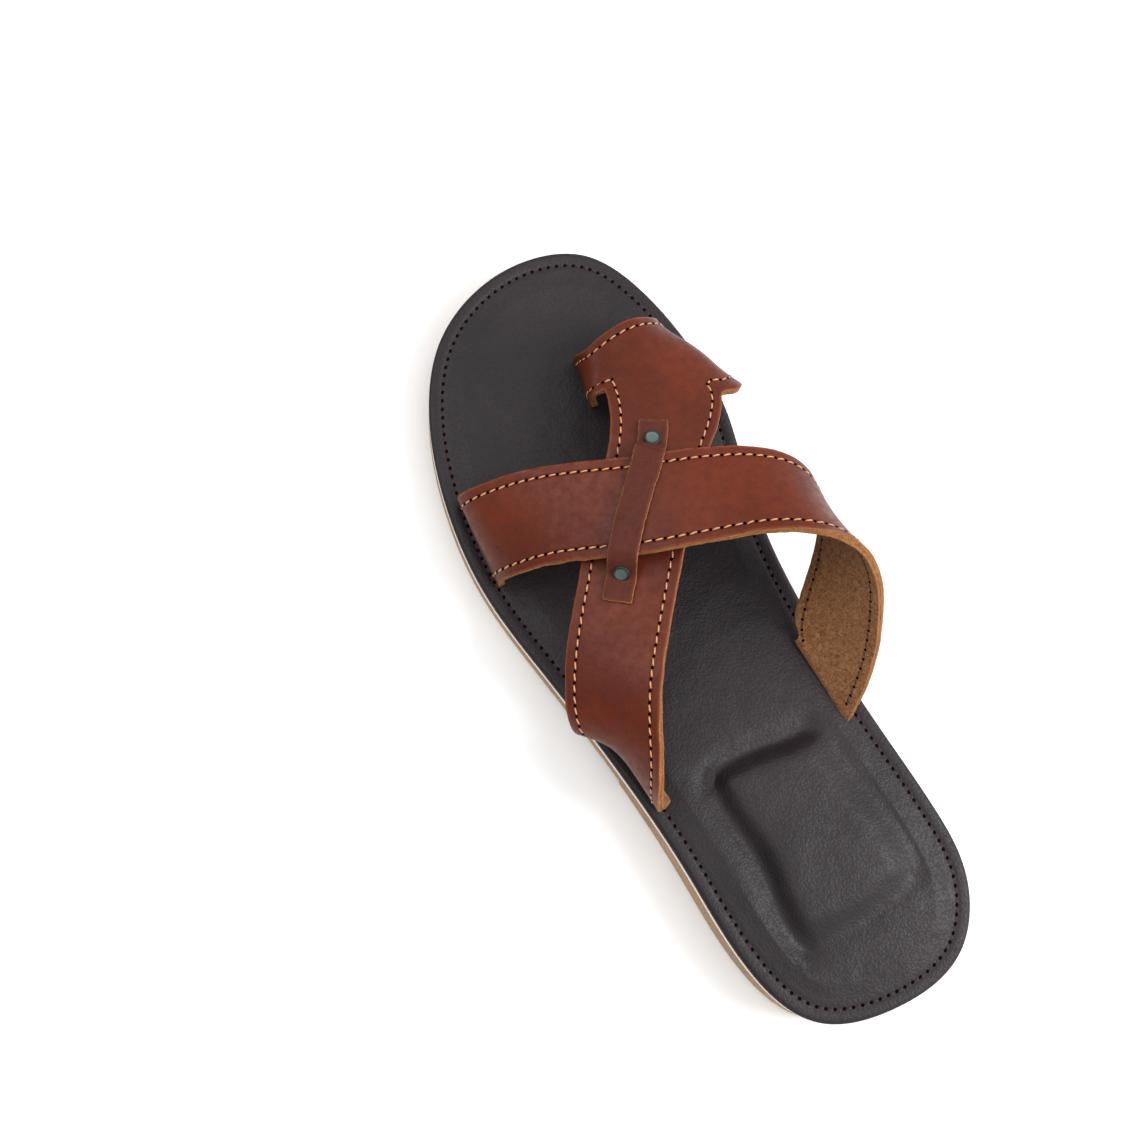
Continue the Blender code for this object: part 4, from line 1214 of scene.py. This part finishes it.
# a seam's needle holes: evenly spaced along the sheet, found on the chosen side of the finished piece
def needlePlaces(points, sheetTree, tree, pitch, side):
    at, length = curveThrough([tuple(p) for p in points])
    count = max(2, round(length / pitch))
    found = []
    for place in at(np.linspace(0.0, length, count + 1)):
        spot, normal, index, away = sheetTree.find_nearest(Vector(place))
        outward = normal * side
        reach = 3.5 * mm
        hit = tree.ray_cast(spot + outward * reach, -outward, 2 * reach)
        if hit[0] is None or (found and (hit[0] - found[-1][0]).length < pitch * 0.4):
            continue
        found.append((hit[0], hit[1]))
    return found


def ellipsoid(bm, place, along, normal, sizes, dip=0.0, rings=(8, 6)):
    ahead = (along - normal * along.dot(normal)).normalized()
    side = normal.cross(ahead)
    turn = Matrix((ahead, side, normal)).transposed().to_4x4()
    made = bmesh.ops.create_uvsphere(bm, u_segments=rings[0], v_segments=rings[1], radius=1.0)["verts"]
    bmesh.ops.rotate(bm, verts=made, cent=(0, 0, 0), matrix=Matrix.Rotation(math.pi / 2, 3, "Y"))
    for vert in made:
        reach = vert.co.x
        vert.co = Vector((reach * sizes[0], vert.co.y * sizes[1], vert.co.z * sizes[2] - dip * reach ** 2))
    bmesh.ops.transform(bm, matrix=Matrix.Translation(place) @ turn, verts=made)


def sewSeam(name, seams, sheetTree, tree, pitch, thread, look, slotName, nodes, side=1, lift=0.55,
            hole=stitching["hole"]):
    bm = bmesh.new()
    holes = bmesh.new()
    rng = np.random.default_rng(len(name) * 7 + 5)
    for points in seams:
        spots = needlePlaces(points, sheetTree, tree, pitch, side)
        for (a, normalA), (b, normalB) in zip(spots, spots[1:]):
            normal = (normalA + normalB).normalized()
            way = b - a
            slant = stitching["slant"] + rng.normal(0.0, 0.05)
            turned = Matrix.Rotation(slant, 3, normal) @ way.normalized()
            size = ((way.length - stitching["gap"]) / 2, thread[0], thread[1])
            middle = a.lerp(b, 0.5) + normal * thread[1] * lift
            ellipsoid(bm, middle, turned, normal, size, stitching["dip"])
        for spot, normal in spots:
            # each needle hole is a small raised bead whose near-black colour is painted shade
            ellipsoid(holes, spot, normal.orthogonal(), normal, hole, rings=(8, 4))
    piece = finish(bm, name, look, 80)
    settle(piece, slotName, *nodes)
    holeShade = finish(holes, name + "_hole_shade", needleHoleShade, 80)
    settle(holeShade, slotName)
    return piece


sewSeam(
    "cross_strap_stitches", crossSeams, crossSheetTree, crossTree,
    stitching["strapPitch"], stitching["strapThread"], tanThread,
    "tan_thread", ["cross_strap_thread_front", "cross_strap_thread_rear"],
)
sewSeam(
    "toe_strap_stitches", toeSeams, toeSheetTree, toeTree,
    stitching["strapPitch"], stitching["strapThread"], tanThread,
    "tan_thread", ["toe_strap_thread_front", "toe_strap_thread_outer", "toe_strap_thread_inner"],
)


# the same seams on the flesh side, in the bobbin's darker thread
sewSeam(
    "cross_strap_bobbin_stitches", crossSeams, crossSheetTree, treeOf(crossLining), stitching["strapPitch"],
    stitching["bobbinThread"], darkThread, "dark_thread", [], side=-1,
)
sewSeam(
    "toe_strap_bobbin_stitches", toeSeams, toeSheetTree, treeOf(toeLining), stitching["strapPitch"],
    stitching["bobbinThread"], darkThread, "dark_thread", [], side=-1,
)


def soleSeam():
    inset = cover["seamInset"]
    loops = []
    for side in (-1, 1):
        rows = soleSides[side]
        loops.append(rows["point"] + rows["inward"] * inset)
    loop = np.vstack([loops[0], loops[1][-2:0:-1]])
    step = np.linalg.norm(np.diff(loop, axis=0), axis=1)
    kept = [0]
    travelled = 0.0
    for k, length in enumerate(step):
        travelled += length
        if travelled > 2.0 * mm:
            kept.append(k + 1)
            travelled = 0.0
    points = [Vector((*loop[k], float(footbed(loop[k][1])))) for k in kept]
    return points + [points[0]]


coverTree = treeOf(footbedCover)
sewSeam(
    "footbed_stitches", [soleSeam()], coverTree, coverTree,
    stitching["solePitch"], stitching["soleThread"], wineThread,
    "dark_thread", ["footbed_thread"], lift=0.25, hole=stitching["soleHole"],
)
print("seams ready")


# ---- gum outsole: heel, arch recess, and a ribbed tread crossed by a zigzag groove
tread = {
    "rowStep": 4,
    "ribPitch": 1.5 * mm,
    "ribDepth": 0.35 * mm,
    "ribTurn": math.radians(62),
    "groove": 1.7 * mm,
    "shares": (0.93, -0.88),
    # places of the zigzag's corners along the sole, inner and outer side by turns
    "zigzag": [
        0.240, 0.271, 0.229, 0.265, 0.219, 0.254, 0.2105, 0.238, 0.201, 0.2235, 0.1855, 0.203, 0.171, 0.184,
        0.1625, 0.1615, 0.151,
    ],
    "pieces": 6,
    "panel": (0.078, 0.016, 0.014),
}


def breastY(x):
    middle = sole["heelLength"] - sole["heelCentre"]
    return middle - x / sole["ballWidth"] * sole["breastSlant"] / 2


def cutWith(piece, bm, name):
    bmesh.ops.recalc_face_normals(bm, faces=bm.faces)
    mesh = bpy.data.meshes.new(name)
    bm.to_mesh(mesh)
    bm.free()
    tool = bpy.data.objects.new(name, mesh)
    bpy.context.scene.collection.objects.link(tool)
    cut = piece.modifiers.new(name, "BOOLEAN")
    cut.operation = "DIFFERENCE"
    cut.solver = "EXACT"
    cut.use_self = True
    cut.object = tool
    graph = bpy.context.evaluated_depsgraph_get()
    done = bpy.data.meshes.new_from_object(piece.evaluated_get(graph))
    piece.modifiers.clear()
    piece.data = done
    bpy.data.objects.remove(tool)
    bpy.data.meshes.remove(mesh)


def shankCutter():
    reach = sole["ballWidth"]
    front = sole["treadStart"] - sole["heelCentre"]
    bm = bmesh.new()
    foot = float(breastY(-reach))
    profile = [(foot, -0.01), (foot, 0.0), (foot + 0.002, sole["breastDepth"]), (front, 0.0), (front, -0.01)]
    face = bm.faces.new([bm.verts.new((-reach, y, z)) for y, z in profile])
    far = bmesh.ops.extrude_face_region(bm, geom=[face])["geom"]
    moved = [v for v in far if isinstance(v, bmesh.types.BMVert)]
    bmesh.ops.translate(bm, verts=moved, vec=(2 * reach, 0, 0))
    slant = float(breastY(reach) - breastY(-reach))
    for vert in moved:
        if vert.co.y < front - 0.001:
            vert.co.y += slant
    return bm


def groovePrism(bm, a, b, width):
    way = b - a
    turn = way.to_track_quat("X", "Z").to_matrix().to_4x4()
    turn = Matrix.Translation(a.lerp(b, 0.5)) @ turn @ Matrix.Rotation(math.pi / 4, 4, "X")
    side = width / math.sqrt(2)
    bmesh.ops.create_cube(
        bm, size=1.0, matrix=turn @ Matrix.Diagonal((way.length + 0.2 * mm, side, side, 1.0)),
    )


def treadPoint(k, place):
    y = place - sole["heelCentre"]
    middle = (edgeX(-1, y) + edgeX(1, y)) / 2
    reach = (edgeX(1, y) - edgeX(-1, y)) / 2
    x = middle + reach * tread["shares"][k % 2]
    return Vector((float(x), y, float(toeSpring(y))))


def treadGrooves():
    bm = bmesh.new()
    corners = [treadPoint(k, place) for k, place in enumerate(tread["zigzag"])]
    for a, b in zip(corners, corners[1:]):
        steps = [a.lerp(b, k / tread["pieces"]) for k in range(tread["pieces"] + 1)]
        for step in steps:
            step.z = float(toeSpring(step.y))
        for start, end in zip(steps, steps[1:]):
            groovePrism(bm, start, end, tread["groove"])
    y, wide, long = tread["panel"]
    front = sole["treadStart"] - sole["heelCentre"]
    fall = sole["breastDepth"] / (front - breastY(0.0) - 0.002)
    x = -0.010
    frameCorners = []
    for sx, sy in ((-1, -1), (1, -1), (1, 1), (-1, 1)):
        py = y + sy * long / 2
        frameCorners.append(Vector((x + sx * wide / 2, py, (front - py) * fall)))
    for a, b in zip(frameCorners, frameCorners[1:] + frameCorners[:1]):
        groovePrism(bm, a, b, 0.6 * mm)
    return bm


# ribs: planes slice the tread's faces, and every second slice line is pressed in
def addRibs(piece):
    bm = bmesh.new()
    bm.from_mesh(piece.data)
    bm.normal_update()

    def onTread(face):
        if face.normal.z > -0.97:
            return False
        c = face.calc_center_median()
        return abs(c.z - float(toeSpring(c.y))) < 0.12 * mm

    way = Vector((math.cos(tread["ribTurn"]), math.sin(tread["ribTurn"]), 0.0))
    marks = bm.verts.layers.float.new("rib")
    steps = int(0.31 / (tread["ribPitch"] / 2))
    faces = [f for f in bm.faces if onTread(f)]
    for k in range(steps):
        reach = -0.09 + k * tread["ribPitch"] / 2
        point = way * reach
        near = []
        for face in faces:
            if face.is_valid:
                sides = [(v.co - point).dot(way) for v in face.verts]
                if min(sides) < -1e-7 and max(sides) > 1e-7:
                    near.append(face)
        if not near:
            continue
        geom = set(near)
        for face in near:
            geom.update(face.edges)
            geom.update(face.verts)
        made = bmesh.ops.bisect_plane(bm, geom=list(geom), dist=1e-7, plane_co=point, plane_no=way)
        touched = [g for g in made["geom_cut"] if isinstance(g, bmesh.types.BMVert)]
        for vert in touched:
            vert[marks] = 1.0 if k % 2 else -1.0
        fresh = [g for g in made["geom"] if isinstance(g, bmesh.types.BMFace)]
        faces = [f for f in faces if f.is_valid]
        faces += [f for f in fresh if f not in near]
    for vert in bm.verts:
        if vert[marks] > 0:
            vert.co.z += tread["ribDepth"]
    bm.to_mesh(piece.data)
    bm.free()


outsoleSection = [
    (2.0, 0.0), (1.0, 0.0), (0.45, 0.0), (0.26, 0.0), (0.13, 0.01), (0.05, 0.05), (0.01, 0.13), (0.0, 0.25),
                  (0.0, 0.6), (0.0, 0.93), (0.03, 1.0), (1.0, 1.0), (2.0, 1.0)]
outsole = soleLayer(
    "gum_outsole", outsoleSection,
    lambda x, y: toeSpring(y), lambda x, y: outsoleTop(y) + half * 0.9, gumRubber,
    rowStep=tread["rowStep"],
)
cutWith(outsole, shankCutter(), "arch_recess")
cutWith(outsole, treadGrooves(), "grooves")
addRibs(outsole)
outsole.data.set_sharp_from_angle(angle=math.radians(32))
settle(outsole, "gum_rubber", "outsole")
print("outsole ready")


# ---- floor, light and camera
studio = {
    "camera": (-119.1 * mm, 56.4 * mm, 466.0 * mm),
    "lookAt": (-36.8 * mm, 129.1 * mm, 16.0 * mm),
    "lean": 24.7,
    "lens": 44.63,
    # the surrounding light is strong on one side and weak on the other
    "bright": (0.55, -0.45, 0.70),
    "weak": 0.26,
    "strong": 1.40,
}


def makeFloor():
    bm = bmesh.new()
    bmesh.ops.create_circle(bm, cap_ends=True, segments=96, radius=6.0)
    mesh = bpy.data.meshes.new("floor")
    bm.to_mesh(mesh)
    bm.free()
    floor = bpy.data.objects.new("floor", mesh)
    bpy.context.scene.collection.objects.link(floor)
    look = bpy.data.materials.new("pale_floor")
    look.use_nodes = True
    shader = look.node_tree.nodes["Principled BSDF"]
    shader.inputs["Base Color"].default_value = (0.93, 0.93, 0.925, 1.0)
    shader.inputs["Roughness"].default_value = 0.9
    mesh.materials.append(look)


def addLight(name, place, target, size, watts, colour=(1, 1, 1)):
    data = bpy.data.lights.new(name, "AREA")
    data.shape = "RECTANGLE"
    data.size, data.size_y = size
    data.energy = watts
    data.color = colour
    lamp = bpy.data.objects.new(name, data)
    lamp.location = place
    lamp.rotation_euler = (Vector(target) - Vector(place)).to_track_quat("-Z", "Y").to_euler()
    bpy.context.scene.collection.objects.link(lamp)


def makeCamera():
    data = bpy.data.cameras.new("camera")
    data.lens = studio["lens"]
    data.sensor_width = 36.0
    data.clip_start = 0.01
    eye, target = Vector(studio["camera"]), Vector(studio["lookAt"])
    ahead = (target - eye).normalized()
    right = ahead.cross(Vector((0, 1, 0))).normalized()
    up = right.cross(ahead)
    turn = math.radians(studio["lean"])
    across = right * math.cos(turn) - up * math.sin(turn)
    upward = right * math.sin(turn) + up * math.cos(turn)
    camera = bpy.data.objects.new("camera", data)
    camera.matrix_world = Matrix.Translation(eye) @ Matrix((across, upward, -ahead)).transposed().to_4x4()
    bpy.context.scene.collection.objects.link(camera)
    bpy.context.scene.camera = camera


makeFloor()
world = bpy.data.worlds.new("studio")
bpy.context.scene.world = world
world.use_nodes = True
world.node_tree.nodes["Background"].inputs[0].default_value = (1.0, 1.0, 1.0, 1.0)
direction = world.node_tree.nodes.new("ShaderNodeTexCoord")
toward = world.node_tree.nodes.new("ShaderNodeVectorMath")
toward.operation = "DOT_PRODUCT"
toward.inputs[1].default_value = Vector(studio["bright"]).normalized()
strength = world.node_tree.nodes.new("ShaderNodeMapRange")
strength.interpolation_type = "SMOOTHSTEP"
for key, value in (
    ("From Min", -0.4), ("From Max", 1.0), ("To Min", studio["weak"]), ("To Max", studio["strong"]),
):
    strength.inputs[key].default_value = value
links = world.node_tree.links
links.new(direction.outputs["Generated"], toward.inputs[0])
links.new(toward.outputs["Value"], strength.inputs["Value"])
links.new(strength.outputs["Result"], world.node_tree.nodes["Background"].inputs[1])
middle = (-0.01, 0.09, 0.02)
addLight("window", (-0.55, 0.75, 1.0), middle, (0.8, 0.8), 6.0)
addLight("fill", (0.7, -0.3, 0.9), middle, (0.5, 0.5), 9.0)
bpy.context.scene.view_settings.view_transform = "Standard"
makeCamera()
print("studio ready")
